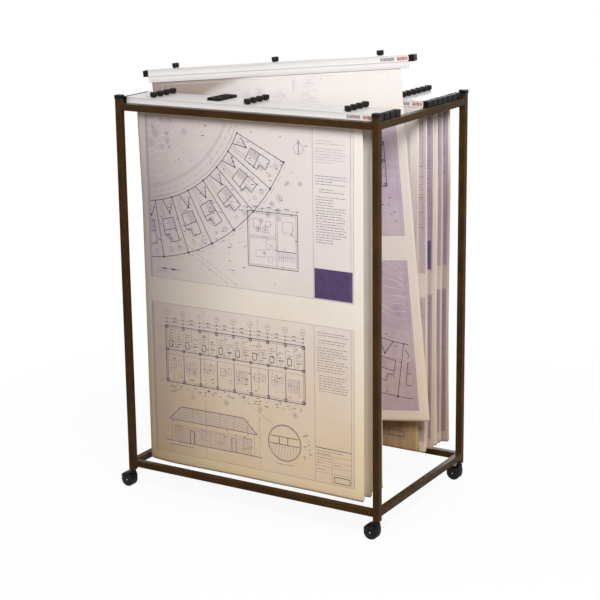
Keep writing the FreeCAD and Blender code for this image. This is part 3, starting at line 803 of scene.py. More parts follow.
class RACK_OT_castors(bpy.types.Operator):
    """Build the four twin-wheel castors"""
    bl_idname = "rack.castors"
    bl_label = "Castors"

    def execute(self, context):
        looks = context.scene.rack_castors
        foot = FRAME_LOW.z
        for name in CASTORS:
            swivel = Vector(JOINTS[name + "_swivel"]["pos_m"])
            axle = Vector(JOINTS[name + "_wheel_front_spin"]["pos_m"])
            axle.y = swivel.y
            centre = Matrix.Translation(axle)
            upright = Matrix.Translation((swivel.x, swivel.y, 0))
            neck_low, neck_high = axle.z + WHEEL_RADIUS + HOOD_GAP + 0.0002, foot - COLLAR_HEIGHT
            hood = Shape().add(castor_hood(), place=centre).add(castor_web(), place=centre)
            hood.add(castor_neck(neck_low, neck_high), place=upright)
            piece = make_piece(name + "_hood", hood, name, [black_plastic()])
            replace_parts(piece, name + "_housing")

            stem = turned([(0, foot - 0.001), (STEM_RADIUS, foot - 0.001), (STEM_RADIUS, foot + STEM_INSIDE),
                           (0, foot + STEM_INSIDE)], 24)
            metal = Shape().add(hexagon(COLLAR_ACROSS, neck_high, foot - RUNNING_FIT), 1, upright)
            metal.add(stem, place=upright)
            metal.add(castor_pin(), place=centre @ Matrix.Rotation(math.radians(-90), 4, "X"))
            make_piece(name + "_stem", metal, name, [steel(), black_plastic()])

            for side, end in ((-1, "_wheel_front"), (1, "_wheel_rear")):
                turn = Matrix.Rotation(math.radians(-90 * side), 4, "X")
                wheel = Shape().add(castor_wheel(looks), place=turn)
                centre = Matrix.Translation(axle + Vector((0, side * WHEEL_INNER, 0)))
                piece = make_piece(name + end + "_tyre", wheel, name + end, [castor_tyre()],
                                   place=centre, crease=30)
                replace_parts(piece, name + end)
        return {"FINISHED"}


# ---------------------------------------------------------------- hangers, in their own frame
def profile_front(groove):
    """Front part of the extruded outline, from the roof's rear edge round the front to the roof's underside."""
    front_wall = LABEL_RECESS + WALL
    low = -HANGER_DROP
    roof = []
    for y in (HANGER_DEPTH - 0.0045, HANGER_DEPTH - 0.0085, 0.0085, 0.0045):
        roof += [(y + groove / 2, HANGER_TOP), (y, HANGER_TOP - groove * 0.4), (y - groove / 2, HANGER_TOP)]
    return [(HANGER_DEPTH, HANGER_TOP)] + roof + [
        (0, HANGER_TOP), (0, UNDER - 0.0010), (0.0005, UNDER - 0.0014), (0.0007, UNDER),
        (LABEL_RECESS, UNDER), (LABEL_RECESS, WALL), (0.0007, WALL), (0.0005, WALL + 0.0014),
        (0, WALL + 0.0010), (0, 0.0004), (0.0009, 0), (0.0009, -0.0010), (0, -0.0014), (0, low + 0.0035),
        (0.0005, low + 0.0030), (0.0005, low + 0.0024), (0, low + 0.0019), (0, low + 0.0008), (0.0008, low),
        (LIP, low), (LIP, 0), (front_wall, WALL), (front_wall, UNDER)]


def profile_rear():
    """Rear part of the outline, from the roof's underside to the rear wall's outer face."""
    inner = HANGER_DEPTH - WALL
    return [(inner, UNDER), (inner, REAR_WALL_LOW + WALL), (inner - WALL, REAR_WALL_LOW + WALL),
            (inner - WALL, REAR_WALL_LOW), (HANGER_DEPTH, REAR_WALL_LOW)]


def socket_outline():
    """Split socket for the jaw's bead, hung from the roof's underside by a neck."""
    centre = (BEAD_Y, BEAD_Z)
    neck = SOCKET_INNER
    side = math.degrees(math.acos(neck / SOCKET_OUTER))
    opens, closes = 210, 345 - 360
    return ([(BEAD_Y - neck, UNDER)] + arc(centre, SOCKET_OUTER, 180 - side, opens, 8)
            + arc(centre, SOCKET_INNER, opens, closes, 20) + arc(centre, SOCKET_OUTER, closes, side, 8)
            + [(BEAD_Y + neck, UNDER)])


def rib_outline():
    """Plain rib in the socket's place, for the hangers whose jaw stays closed."""
    left, right, low = BEAD_Y - BEAD_RADIUS, BEAD_Y + BEAD_RADIUS, BEAD_Z + BEAD_RADIUS
    return [(left, UNDER), (left, low), (right, low), (right, UNDER)]


def hanger_profile(middle, looks):
    outline = profile_front(looks.groove) + middle + profile_rear()
    return prism(rounded(outline, looks.edge, 2), -HALF_PROFILE, HALF_PROFILE)


def blade_outline():
    """Blade and arm, which both kinds of jaw have."""
    back = JAW_FRONT + JAW_THICKNESS
    arm_low = ARM_TOP - JAW_THICKNESS
    return [(JAW_FRONT, -HANGER_DROP), (back, -HANGER_DROP), (back, arm_low), (ARM_END, arm_low),
            (ARM_END, ARM_TOP)]


def jaw_outline():
    """Blade, arm and round bead as one outline."""
    enters = math.degrees(math.asin((ARM_TOP - BEAD_Z) / BEAD_RADIUS * 0.999))
    bead = arc((BEAD_Y, BEAD_Z), BEAD_RADIUS, enters + 20, 180 + 35, 18)
    return blade_outline() + [(BEAD_Y + 0.0024, ARM_TOP)] + bead[2:-1] + [(JAW_FRONT, ARM_TOP + 0.0010)]


def closed_jaw_outline():
    """Blade and arm with a square head under the rib."""
    shoulder = BEAD_Z + BEAD_RADIUS
    return blade_outline() + [(BEAD_Y + BEAD_RADIUS, ARM_TOP), (BEAD_Y + BEAD_RADIUS, shoulder),
                              (JAW_FRONT, shoulder)]


def jaw_bar(outline, looks):
    reach = HALF_PROFILE - JAW_SHORTER
    return prism(rounded(outline, looks.edge, 2), -reach, reach)


def end_lugs():
    """Moulded end pieces, each with two grooves over its top and a step where it meets the profile."""
    top, end = LUG_HEIGHT, LUG_LENGTH
    outline = [(0, 0), (0, top - 0.0006), (0.0016, top - 0.0006), (0.0022, top)]
    for at in (0.0075, 0.0125):
        outline += [(at - 0.0008, top), (at - 0.0004, top - 0.0008), (at + 0.0004, top - 0.0008),
                    (at + 0.0008, top)]
    outline += [(end - 0.0014, top), (end, top - 0.0014), (end, 0.0008), (end - 0.0008, 0)]
    shape = Shape()
    for side in (-1, 1):
        placed = [(side * (HALF_PROFILE + x), z) for x, z in outline]
        shape.add(prism(placed, LUG_INSET, HANGER_DEPTH - LUG_INSET, "Y"))
    return shape


def knob(looks):
    """Fluted knob with a flat, slightly sunk top and a side that draws in to its foot.
    Returns the part and the number of a finish for each face: the flutes' ridges get a painted highlight."""
    outline = [(0, -0.0006), (0.0068, -0.0006), (0.0096, 0.0), (0.0107, 0.0010), (0.0113, 0.0024),
               (0.0116, 0.0042), (0.0117, 0.0064), (KNOB_RADIUS, 0.0086), (KNOB_RADIUS, 0.0136),
               (KNOB_RADIUS - 0.0002, 0.0144),
               (KNOB_RADIUS - 0.0007, 0.0149), (KNOB_RADIUS - 0.0015, KNOB_HEIGHT), (0.0086, 0.0149),
               (0.0080, 0.0144), (0.0030, 0.0142), (0.0026, 0.0145), (0, 0.0146)]
    each = 6                      # facets to a flute
    ridge_rows = range(4, 11)
    steps = looks.flutes * each

    def reach(turn, radius, height):
        if radius < 0.0087:
            return radius
        share = min(1.0, (height - 0.0012) / 0.004) * (0.55 if height > 0.0146 else 1.0)
        wave = 0.5 - 0.5 * math.cos(2 * math.pi * turn * looks.flutes)
        return radius - looks.flute_depth * max(0.0, share) * wave ** 1.5

    # Painted highlight: the faces along each flute's ridge take the paler finish.
    ridge = [2 if row in ridge_rows and n % each in (0, each - 1) else 0
             for row in range(len(outline) - 1) for n in range(steps)]
    return turned(outline, steps, reach=reach), ridge


def card_plate():
    """Card plate with a rim round a shallow tray and a finger notch in its front rim."""
    x0, x1 = CARD_X - CARD_WIDTH / 2, CARD_X + CARD_WIDTH / 2
    y0, y1 = CARD_INSET, HANGER_DEPTH - CARD_INSET
    rim, notch, groove = 0.003, 0.007, 0.0007
    top = HANGER_TOP + CARD_HEIGHT
    floor = top - 0.0010
    low = HANGER_TOP + CARD_HEIGHT * 0.45
    corners = [(x0, x1, y0, y1, HANGER_TOP, low - 0.0006),
               (x0 + groove, x1 - groove, y0 + groove, y1 - groove, low - 0.0006, low),
               (x0, x1, y0, y1, low, floor), (x0, x1, y1 - rim, y1, floor, top),
               (x0, x0 + rim, y0, y1 - rim, floor, top), (x1 - rim, x1, y0, y1 - rim, floor, top),
               (x0 + rim, CARD_X - notch, y0, y0 + rim, floor, top),
               (CARD_X + notch, x1 - rim, y0, y0 + rim, floor, top)]
    for n in range(1, 4):
        y = y0 + rim + (y1 - y0 - 2 * rim) * n / 4
        corners.append((x0 + 0.006, x1 - 0.006, y - 0.0006, y + 0.0006, floor, floor + 0.0005))
    shape = Shape()
    for numbers in corners:
        shape.add(block(*numbers))
    return shape


def nut_ring():
    """Flange of a rivet nut on the roof, open for the stud."""
    corner = NUT_ACROSS / math.sqrt(3)
    bore = STUD_RADIUS + RUNNING_FIT
    low, high = HANGER_TOP - 0.0001, HANGER_TOP + NUT_HEIGHT

    def reach(turn, radius, height):
        if radius == bore:
            return bore
        flat = NUT_ACROSS / 2 / math.cos((2 * math.pi * turn + math.pi / 6) % (math.pi / 3) - math.pi / 6)
        return min(flat, corner * 0.985) - (corner - radius)

    outline = [(corner, low), (corner, high - 0.0002), (corner - 0.0003, high), (bore, high), (bore, low)]
    return turned(outline, 36, closed=True, reach=reach)


def add_at_knobs(shape, part, finish=0, height=0.0):
    """Adds a part at the place of each of the three knobs."""
    for x in KNOB_PLACES.values():
        shape.add(part, finish, Matrix.Translation((x, KNOB_Y, height)))


def knob_finishes():
    # The third finish is paler, for the painted highlight on the knobs' flute ridges.
    return [black_plastic(), steel(), black_plastic(2.6)]


def label_piece(name, looks, place):
    """Bare label in the channel, with a grey field and a smaller red one and no writing."""
    x0, x1 = looks.label_start, looks.label_start + looks.label_length
    z0, z1 = WALL + 0.0017, UNDER - 0.0017
    face = LABEL_RECESS - 0.0005
    shape = Shape().add(block(x0, x1, face, LABEL_RECESS + 0.0001, z0, z1))
    middle = x0 + (x1 - x0) * 0.56
    for left, right, finish in ((x0 + 0.003, middle - 0.004, 2), (middle + 0.004, x1 - 0.003, 1)):
        shape.add(block(left, right, face - 0.0001, face + 0.0001, z0 + 0.0016, z1 - 0.0022), finish)
    finishes = [label_film(), label_field(True), label_field(False)]
    make_piece(name + "_label", shape, name, finishes, place)


def seated_place(name):
    """Own frame of a seated hanger, from the box of its profiles."""
    low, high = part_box(name + "_profiles")
    return Matrix.Translation(((low.x + high.x) / 2, low.y, low.z + HANGER_DROP))


def raised_place():
    """Own frame of the raised hanger, from the axes of its jaw hinge and studs."""
    hinge = JOINTS["raised_jaw_hinge"]
    x_axis = Vector(hinge["axis"]).normalized()
    z_axis = Vector(JOINTS["raised_studs_rise"]["axis"]).normalized()
    y_axis = z_axis.cross(x_axis)
    origin = Vector(hinge["pos_m"]) - y_axis * BEAD_Y - z_axis * BEAD_Z
    return Matrix.Translation(origin) @ Matrix((x_axis, y_axis, z_axis)).transposed().to_4x4()


class RACK_OT_seated_hangers(bpy.types.Operator):
    """Build the hangers that rest on the side rails"""
    bl_idname = "rack.seated_hangers"
    bl_label = "Seated hangers"

    def execute(self, context):
        looks = context.scene.rack_hangers
        bars = Shape().add(hanger_profile(rib_outline(), looks)).add(jaw_bar(closed_jaw_outline(), looks))
        lugs = end_lugs()
        knobs = Shape()
        thread = threaded(STUD_RADIUS, looks.thread_pitch, HANGER_TOP - 0.0005, KNOB_BASE + 0.001, 16)
        add_at_knobs(knobs, *knob(looks), KNOB_BASE)
        add_at_knobs(knobs, thread, 1)
        add_at_knobs(knobs, hexagon(NUT_ACROSS, HANGER_TOP - 0.0001, HANGER_TOP + NUT_HEIGHT))
        for name in SEATED_HANGERS:
            place = seated_place(name)
            piece = make_piece(name + "_bars", bars, name, [aluminium()], place, 30)
            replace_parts(piece, name + "_profiles")
            piece = make_piece(name + "_lugs", lugs, name, [black_plastic()], place)
            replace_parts(soften(piece, LUG_EDGE), name + "_fittings")
            make_piece(name + "_knobs", knobs, name, knob_finishes(), place)
            label_piece(name, looks, place)
        for name in FRONT_HANGERS[1:]:
            piece = make_piece(name + "_card_plate", card_plate(), name, [black_plastic()],
                               seated_place(name))
            soften(piece, 0.0004)
        return {"FINISHED"}


class RACK_OT_raised_hanger(bpy.types.Operator):
    """Build the hanger that is lifted out of the free bay, with its jaw, studs and knobs"""
    bl_idname = "rack.raised_hanger"
    bl_label = "Raised hanger"

    def execute(self, context):
        looks = context.scene.rack_hangers
        place = raised_place()
        name = RAISED_HANGER
        bar = Shape().add(hanger_profile(socket_outline(), looks))
        add_at_knobs(bar, nut_ring(), 1)
        piece = make_piece(name + "_extrusion", bar, name, [aluminium(), steel()], place, 30)
        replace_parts(piece, name + "_profile")
        jaw = Shape().add(jaw_bar(jaw_outline(), looks))
        piece = make_piece(name + "_jaw_bar", jaw, name + "_jaw", [aluminium()], place, 30)
        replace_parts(piece, name + "_jaw")
        piece = make_piece(name + "_lugs", end_lugs(), name, [black_plastic()], place)
        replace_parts(soften(piece, LUG_EDGE), name + "_end_lugs")
        label_piece(name, looks, place)
        studs = Shape()
        foot = ARM_TOP + 0.00005
        angles = [math.radians(a) for a in (0, 20, 40, 60, 80)]
        dome = [(STUD_RADIUS * math.sin(a), foot + STUD_RADIUS * (1 - math.cos(a))) for a in angles]
        add_at_knobs(studs, threaded(STUD_RADIUS, looks.thread_pitch, foot + 0.003,
                                     KNOB_BASE + KNOB_HEIGHT - 0.002))
        add_at_knobs(studs, turned(dome + [(0.0029, foot + 0.0031), (0, foot + 0.0032)], 20))
        piece = make_piece(name + "_threaded_studs", studs, name + "_studs", [steel()], place)
        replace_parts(piece, name + "_studs")
        for side, x in KNOB_PLACES.items():
            head = Shape().add(*knob(looks))
            at = place @ Matrix.Translation((x, KNOB_Y, KNOB_BASE))
            piece = make_piece(name + "_fluted_knob_" + side, head, name + "_knob_" + side, knob_finishes(),
                               at)
            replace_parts(piece, name + "_knob_" + side)
        return {"FINISHED"}


# ---------------------------------------------------------------- plans
# Shares of a sheet's width and length that its two printed panels take.
PANEL_LEFT = 0.036
NOTES = 0.145                 # width of the note column
UPPER_PANEL = (0.030, 0.472)
LOWER_PANEL = (0.542, 0.968)
INK_LIFT = 0.00022            # ink stands this far in front of the paper, so that it never sinks in
INK_STEP = 0.026              # longest straight piece of a drawn line
INKS = ("fine", "bold", "block", "pale")
FINE, BOLD, BLOCK, PALE = range(4)


class Pack:
    """How the sheets of one hanger hang. Depths are behind the hanger's front face."""

    def __init__(self, name, place, box_left, width, length, count, looks, seed, lean, flare):
        draw = random.Random(seed)
        self.name = name
        self.place = place
        self.left = box_left
        self.width = width
        self.length = length
        self.count = count
        self.looks = looks
        self.lean = lean
        self.turns = [draw.random() for _ in range(5)]
        self.strength = draw.uniform(0.75, 1.0)
        self.bow_reach = draw.uniform(0.12, 0.17)
        self.flare = flare * draw.uniform(0.7, 1.0)
        self.offsets = [(0.0, 0.0)] + [(draw.uniform(-0.0025, 0.0015), draw.uniform(0.0, 0.007))
                                       for _ in range(count - 1)]

    def depth(self, layer, across, down):
        looks = self.looks
        top = GRIP + 0.001
        t = np.clip((down - top) / (self.length - top), 0.0, 1.0)
        room = JAW_FRONT - LIP - 2 * LIP_CLEAR
        held = LIP + LIP_CLEAR + room * (layer + 0.5) / self.count
        low = looks.fan_front + (looks.fan_back - looks.fan_front) * layer / (self.count - 1) + self.lean
        share = across / self.width
        wave = 0.6 * np.sin(2 * math.pi * (1.15 * share + self.turns[0]) + 0.9 * t)
        wave += 0.4 * np.sin(2 * math.pi * (2.4 * share + self.turns[1]) - 1.4 * t)
        wave += 0.25 * np.sin(2 * math.pi * (0.9 * t + self.turns[2] + 0.3 * share))
        sag = looks.wave * self.strength * (wave + 0.35) * t ** 1.2
        released = np.minimum(1.0, 4 * t)
        left = np.clip(1.0 - across / 0.026, 0.0, 1.0) ** 2
        right = np.clip(1.0 - (self.width - across) / 0.030, 0.0, 1.0) ** 2
        sway = 1.0 + 0.6 * np.sin(2 * math.pi * (1.3 * t + self.turns[3]))
        curl = looks.curl * released * (left * (0.3 + 0.7 * t) + 0.6 * right * t * sway)
        curl += (self.flare * released * np.clip(1.0 - (self.width - across) / 0.070, 0.0, 1.0) ** 2
                 * (0.45 + 0.55 * np.sin(2 * math.pi * (0.8 * t + self.turns[4])))
                 * (0.4 + 0.6 * layer / (self.count - 1)))
        bow = looks.bow * released * np.clip(1.0 - across / self.bow_reach, 0.0, 1.0) ** 2
        foot = np.clip(1.0 - (self.length - down) / 0.035, 0.0, 1.0) ** 2
        return held + (low - held) * t * (1.5 - 0.5 * t) + sag + curl + bow + 0.002 * foot * self.strength

    def points(self, layer, across, down, ahead):
        """Points in the hanger's own frame, this far in front of the middle of the paper."""
        x = self.left + across + self.offsets[layer][0]
        z = -HANGER_DROP + GRIP - down
        return np.stack([x, self.depth(layer, across, down) - ahead, z], axis=-1)


def grid_steps(length, step, fine_start, fine_end):
    """Places from 0 to length, closer together near both ends."""
    middle = np.arange(fine_start[-1] + step * 0.6, length - fine_end[-1] - step * 0.3, step)
    return np.concatenate([fine_start, middle, (length - np.array(fine_end))[::-1]])


def sheet_mesh(pack, layer, finishes):
    """One sheet as a thin closed shell, with its printed face, back and edge."""
    length = pack.length - pack.offsets[layer][1]
    across = grid_steps(pack.width, 0.030, (0.0, 0.005, 0.011, 0.018, 0.027, 0.04), (0.0, 0.006, 0.013, 0.022))
    down = grid_steps(length, 0.040, (0.0, 0.012, GRIP, GRIP + 0.006, GRIP + 0.020), (0.0, 0.008, 0.018, 0.032))
    a, d = np.meshgrid(across, down)
    half = pack.looks.thickness / 2
    front = pack.points(layer, a, d, half)
    back = pack.points(layer, a, d, -half)
    rows, columns = a.shape
    points = np.concatenate([front.reshape(-1, 3), back.reshape(-1, 3)])
    number = np.arange(rows * columns).reshape(rows, columns)
    quads = np.stack([number[:-1, :-1], number[:-1, 1:], number[1:, 1:], number[1:, :-1]], -1).reshape(-1, 4)
    ring = np.concatenate([number[0, :-1], number[:-1, -1], number[-1, :0:-1], number[:0:-1, 0]])
    behind = rows * columns
    rim = np.stack([ring, ring + behind, np.roll(ring, -1) + behind, np.roll(ring, -1)], -1)
    faces = np.concatenate([quads[:, ::-1], quads + behind, rim[:, ::-1]])
    mesh = bpy.data.meshes.new(pack.name + "_sheet")
    mesh.from_pydata(points.tolist(), [], faces.tolist())
    for finish in finishes:
        mesh.materials.append(finish)
    printed = len(quads)
    mesh.polygons.foreach_set("material_index", [0] * printed + [1] * (len(faces) - printed))
    mesh.polygons.foreach_set("use_smooth", [True] * (2 * printed) + [False] * len(rim))
    corner = np.zeros(len(mesh.loops), int)
    mesh.loops.foreach_get("vertex_index", corner)
    spots = np.stack([a.ravel() / pack.width, 1 - d.ravel() / length], -1)
    uv = mesh.uv_layers.new(name="sheet")
    uv.uv.foreach_set("vector", spots[corner % behind].astype(np.float32).ravel())
    return mesh


def between(start, end, share):
    """Point at a share of the way from one point to another."""
    return tuple(a + (b - a) * share for a, b in zip(start, end))


class Drawing:
    """Strokes of one plan, gathered as four-cornered patches of (across, down) points."""

    def __init__(self, looks, width, length, panel_top, panel_right, seed):
        self.fine = looks.fine_line
        self.bold = looks.bold_line
        self.width = width
        self.length = length
        self.panel_top = panel_top
        self.panel_right = panel_right
        self.draw = random.Random(seed)
        self.limits = (0.0, width, 0.0, length)
        self.faded = False
        self.patches = []
        self.finishes = []

    def within(self, start, end):
        """The part of a straight line inside the limits, or None."""
        x0, x1, s0, s1 = self.limits
        along, down = end[0] - start[0], end[1] - start[1]
        first, last = 0.0, 1.0
        for move, gap in ((-along, start[0] - x0), (along, x1 - start[0]), (-down, start[1] - s0),
                          (down, s1 - start[1])):
            if abs(move) < 1e-9:
                if gap < 0:
                    return None
            elif move < 0:
                first = max(first, gap / move)
            else:
                last = min(last, gap / move)
        return (between(start, end, first), between(start, end, last)) if first < last else None

    def stroke(self, points, width=None, finish=None):
        """A line through points, cut to the limits and into short pieces that can follow the sheet."""
        width = width or self.fine
        if finish is None:
            finish = PALE if self.faded else BOLD if width > self.fine * 1.2 else FINE
        for pair in zip(points, points[1:]):
            ends = self.within(*pair)
            run = math.dist(*ends) if ends else 0.0
            if run < 1e-6:
                continue
            count = max(1, math.ceil(run / INK_STEP))
            (x0, s0), (x1, s1) = ends
            dx, ds = -(s1 - s0) / run * width / 2, (x1 - x0) / run * width / 2
            places = [between(*ends, n / count) for n in range(count + 1)]
            for a, b in zip(places, places[1:]):
                self.patches.append([(a[0] + dx, a[1] + ds), (b[0] + dx, b[1] + ds),
                                     (b[0] - dx, b[1] - ds), (a[0] - dx, a[1] - ds)])
                self.finishes.append(finish)

    def line(self, x0, s0, x1, s1, width=None):
        self.stroke([(x0, s0), (x1, s1)], width)

    def loop(self, points, width=None):
        self.stroke([*points, points[0]], width)

    def box(self, x0, x1, s0, s1, width=None):
        self.loop([(x0, s0), (x1, s0), (x1, s1), (x0, s1)], width)

    def ring(self, centre, radius, width=None, start=0, end=360, steps=None):
        steps = steps or max(6, int(abs(end - start) / 360 * (10 + radius * 120)))
        self.stroke(arc(centre, radius, start, end, steps), width)

    def dashes(self, start, end, dash, gap):
        run = math.dist(start, end)
        at = 0.0
        while at < run:
            stop = min(run, at + dash)
            self.stroke([between(start, end, at / run), between(start, end, stop / run)])
            at = stop + gap

    def hatch(self, x0, x1, s0, s1, pitch):
        """Slanting lines over a rectangle."""
        held = self.limits
        self.limits = (max(x0, held[0]), min(x1, held[1]), max(s0, held[2]), min(s1, held[3]))
        high = s1 - s0
        for n in range(int((x1 - x0 + high) / pitch)):
            x = x0 + pitch * (n + 0.5)
            self.stroke([(x, s0), (x - high, s1)], finish=PALE)
        self.limits = held

    def fill(self, x0, x1, s0, s1):
        """Solid printed block, in strips."""
        count = max(1, math.ceil((s1 - s0) / 0.012))
        height = (s1 - s0) / count
        for n in range(count):
            s = s0 + height * (n + 0.5)
            self.stroke([(x0, s), (x1, s)], height, BLOCK)

    def marks(self, x0, x1, s0, s1, count):
        """Short level marks and figures strewn over an area, as dashes."""
        for _ in range(count):
            x, s = self.draw.uniform(x0, x1), self.draw.uniform(s0, s1)
            long = self.draw.uniform(0.003, 0.011)
            self.line(x, s, x + long, s, self.draw.choice((self.fine, self.bold)))
            if self.draw.random() < 0.3:
                self.line(x + long / 2, s - 0.005, x + long / 2, s - 0.001, self.fine)

    def notes(self, x0, x1, s0, rows, pitch=0.0085, width=None, indent=0.0):
        """Writing as rows of dashes, with ragged ends and a gap after each paragraph."""
        s, left = s0, x0
        for row in range(rows):
            if self.draw.random() < 0.14 and row:
                s += pitch * 0.9
                left = x0 + (indent if left == x0 else 0.0)
            x = left
            end = x1 - (x1 - x0) * self.draw.choice((0.02, 0.06, 0.12, 0.20, 0.45))
            while x < end:
                step = min(self.draw.uniform(0.004, 0.015), end - x)
                self.line(x, s, x + step, s, width or self.fine * 1.4)
                x += step + self.draw.uniform(0.0018, 0.0042)
            s += pitch


class Area:
    """A rectangle of a drawing, whose places are given as shares of its width and height."""

    def __init__(self, d, x, s, wide, high):
        self.d, self.x, self.s, self.wide, self.high = d, x, s, wide, high

    def at(self, across, down):
        return self.x + self.wide * across, self.s + self.high * down

    def line(self, x0, s0, x1, s1, width=None):
        self.d.stroke([self.at(x0, s0), self.at(x1, s1)], width)

    def span(self, x0, x1, s0, s1):
        """The limits of a part of the area, as the calls of a drawing take them."""
        return (self.x + self.wide * x0, self.x + self.wide * x1, self.s + self.high * s0,
                self.s + self.high * s1)


def sheet_frame(d, block_high=0.0, columns=True):
    """Border lines and, with columns, notes and a title block. Returns the two drawing fields."""
    left, right = d.width * PANEL_LEFT, d.width * d.panel_right
    column, margin = right - NOTES, right - 0.010
    inset = 0.007
    fields = []
    for low, high in ((d.panel_top, UPPER_PANEL[1]), LOWER_PANEL):
        s0, s1 = low * d.length, high * d.length
        d.box(left, right, s0, s1)
        d.line(margin, s0, margin, s1)
        if columns:
            d.line(column, s0, column, s1)
        fields.append((left + inset, (column if columns else margin) - inset, s0 + inset, s1 - inset))
    if columns:
        x0, x1 = column + 0.010, right - (0.020 if d.panel_right < 0.98 else 0.003)
        s0, s1 = d.panel_top * d.length, UPPER_PANEL[1] * d.length
        d.notes(x0, x1, s0 + 0.040, 8, width=d.fine)
        d.notes(x0, x1, s0 + 0.150, 24, indent=0.012)
        if block_high:
            d.fill(column + 0.003, right - 0.004, s1 - block_high, s1 - 0.003)
        s0, s1 = (share * d.length for share in LOWER_PANEL)
        d.notes(x0, x1, s0 + 0.022, 21, indent=0.006)
        title_block(d, column, margin, s1 - 0.118, s1)
    return fields


def title_block(d, x0, x1, s0, s1):
    """Ruled boxes with short rows of writing dashes."""
    block_area = Area(d, x0, s0, x1 - x0, s1 - s0)
    middle = block_area.at(0.46, 0)[0]
    d.line(x0, s0, x1, s0, d.bold)
    for share in (0.20, 0.36, 0.52, 0.70):
        s = block_area.at(0, share)[1]
        d.line(x0, s, x1, s)
    d.line(middle, block_area.at(0, 0.36)[1], middle, s1)
    d.notes(x0 + 0.006, x1 - 0.03, s0 + 0.010, 2, 0.009)
    for left, right, share in ((x0, x1 - 0.02, 0.28), (x0, middle - 0.01, 0.44), (middle, x1 - 0.01, 0.44),
                               (x0, middle - 0.01, 0.62)):
        d.notes(left + 0.006, right, block_area.at(0, share)[1], 1)
    d.box(middle + 0.008, x1 - 0.006, block_area.at(0, 0.77)[1], s1 - 0.008, d.bold)


def crescent(d, field, flip, plots):
    """Site plan: a curved road with plots along it, each with a house, a drive, trees and survey marks."""
    x0, x1, s0, s1 = field
    across, high = x1 - x0, s1 - s0
    way = -1 if flip else 1
    side = x1 if flip else x0
    centre = (side - way * 0.08 * across, s0 - 0.30 * high)
    outer = min(1.02 * across, 1.24 * high)
    inner = outer * 0.70

    def at(radius, angle):
        a = math.radians(angle)
        return (centre[0] + way * radius * math.cos(a), centre[1] + radius * math.sin(a))

    def sweep(radius, start, end, width=None, dashed=False):
        steps = max(6, int(abs(end - start) / 2.0))
        path = [at(radius, start + (end - start) * n / steps) for n in range(steps + 1)]
        for n in range(0, steps, 2 if dashed else 1):
            d.stroke(path[n:n + 2], width)

    start = math.degrees(math.asin((0.30 * high + 0.03) / inner))
    end = math.degrees(math.asin(min(1.0, 1.27 * high / outer)))
    sweep(inner - 0.012, start - 3, end + 3)
    sweep(inner - 0.030, start - 4, end + 5, dashed=True)
    sweep(inner - 0.048, start - 5, end + 8)
    sweep(inner - 0.054, start - 5, end + 8)
    sweep(inner, start, end, d.bold)
    sweep(outer, start, end, d.bold)
    sweep(outer + 0.010, start, end, dashed=True)
    step = (end - start) / plots
    for n in range(plots + 1):
        angle = start + step * n
        d.stroke([at(inner, angle), at(outer, angle)], d.bold)
        d.ring(at(outer, angle), 0.0035, d.bold, steps=6)
        d.ring(at(inner, angle), 0.0025, d.bold, steps=5)
        if n < plots:
            plot_plan(d, at, inner, outer - inner, angle + step / 2, step)
    house(d, (x0 + across * (0.04 if flip else 0.62), s0 + high * 0.52), across * 0.30, high * 0.34)
    for n in range(9):
        radius = inner - 0.085 - 0.022 * n
        path = [at(radius + 0.006 * math.sin(k * 0.5 + n), start - 6 + (end + 12 - start) * k / 40)
                for k in range(41)]
        d.stroke(path, finish=PALE)
    for count, radius, reach, first, last, crown in ((14, inner - 0.10, -0.16, -0.1, 1.2, 0.013),
                                                     (10, outer + 0.03, 0.10, 0.0, 0.35, 0.011)):
        for _ in range(count):
            spot = at(radius + reach * d.draw.random(), start + (end - start) * d.draw.uniform(first, last))
            tree(d, spot, d.draw.uniform(0.006, crown))
    for k in range(1, 5):
        for n in range(1, 4):
            x, s = x0 + across * k / 5, s0 + high * n / 4
            d.line(x - 0.005, s, x + 0.005, s)
            d.line(x, s - 0.005, x, s + 0.005)
    for down, reach in ((0.62, 0.55), (0.66, 0.50)):
        d.dashes((x0, s0 + high * down), (x0 + across * reach, s1), 0.016, 0.005)
    d.marks(x0 + 0.01, x1 - 0.02, s0 + 0.01, s1 - 0.02, 70)
    d.marks(x0 + 0.01, x0 + across * 0.6, s0 + high * 0.72, s1 - 0.03, 26)
    scale_bar(d, x0 + across * (0.60 if flip else 0.04), s1 - 0.028)
    north_mark(d, x0 + across * (0.08 if flip else 0.93), s0 + high * 0.12, 0.018)


def tree(d, spot, radius):
    """Tree seen from above: a ring with short branches."""
    d.ring(spot, radius)
    for angle in range(20, 380, 60):
        a = math.radians(angle)
        d.stroke([spot, (spot[0] + radius * 0.7 * math.cos(a), spot[1] + radius * 0.7 * math.sin(a))])


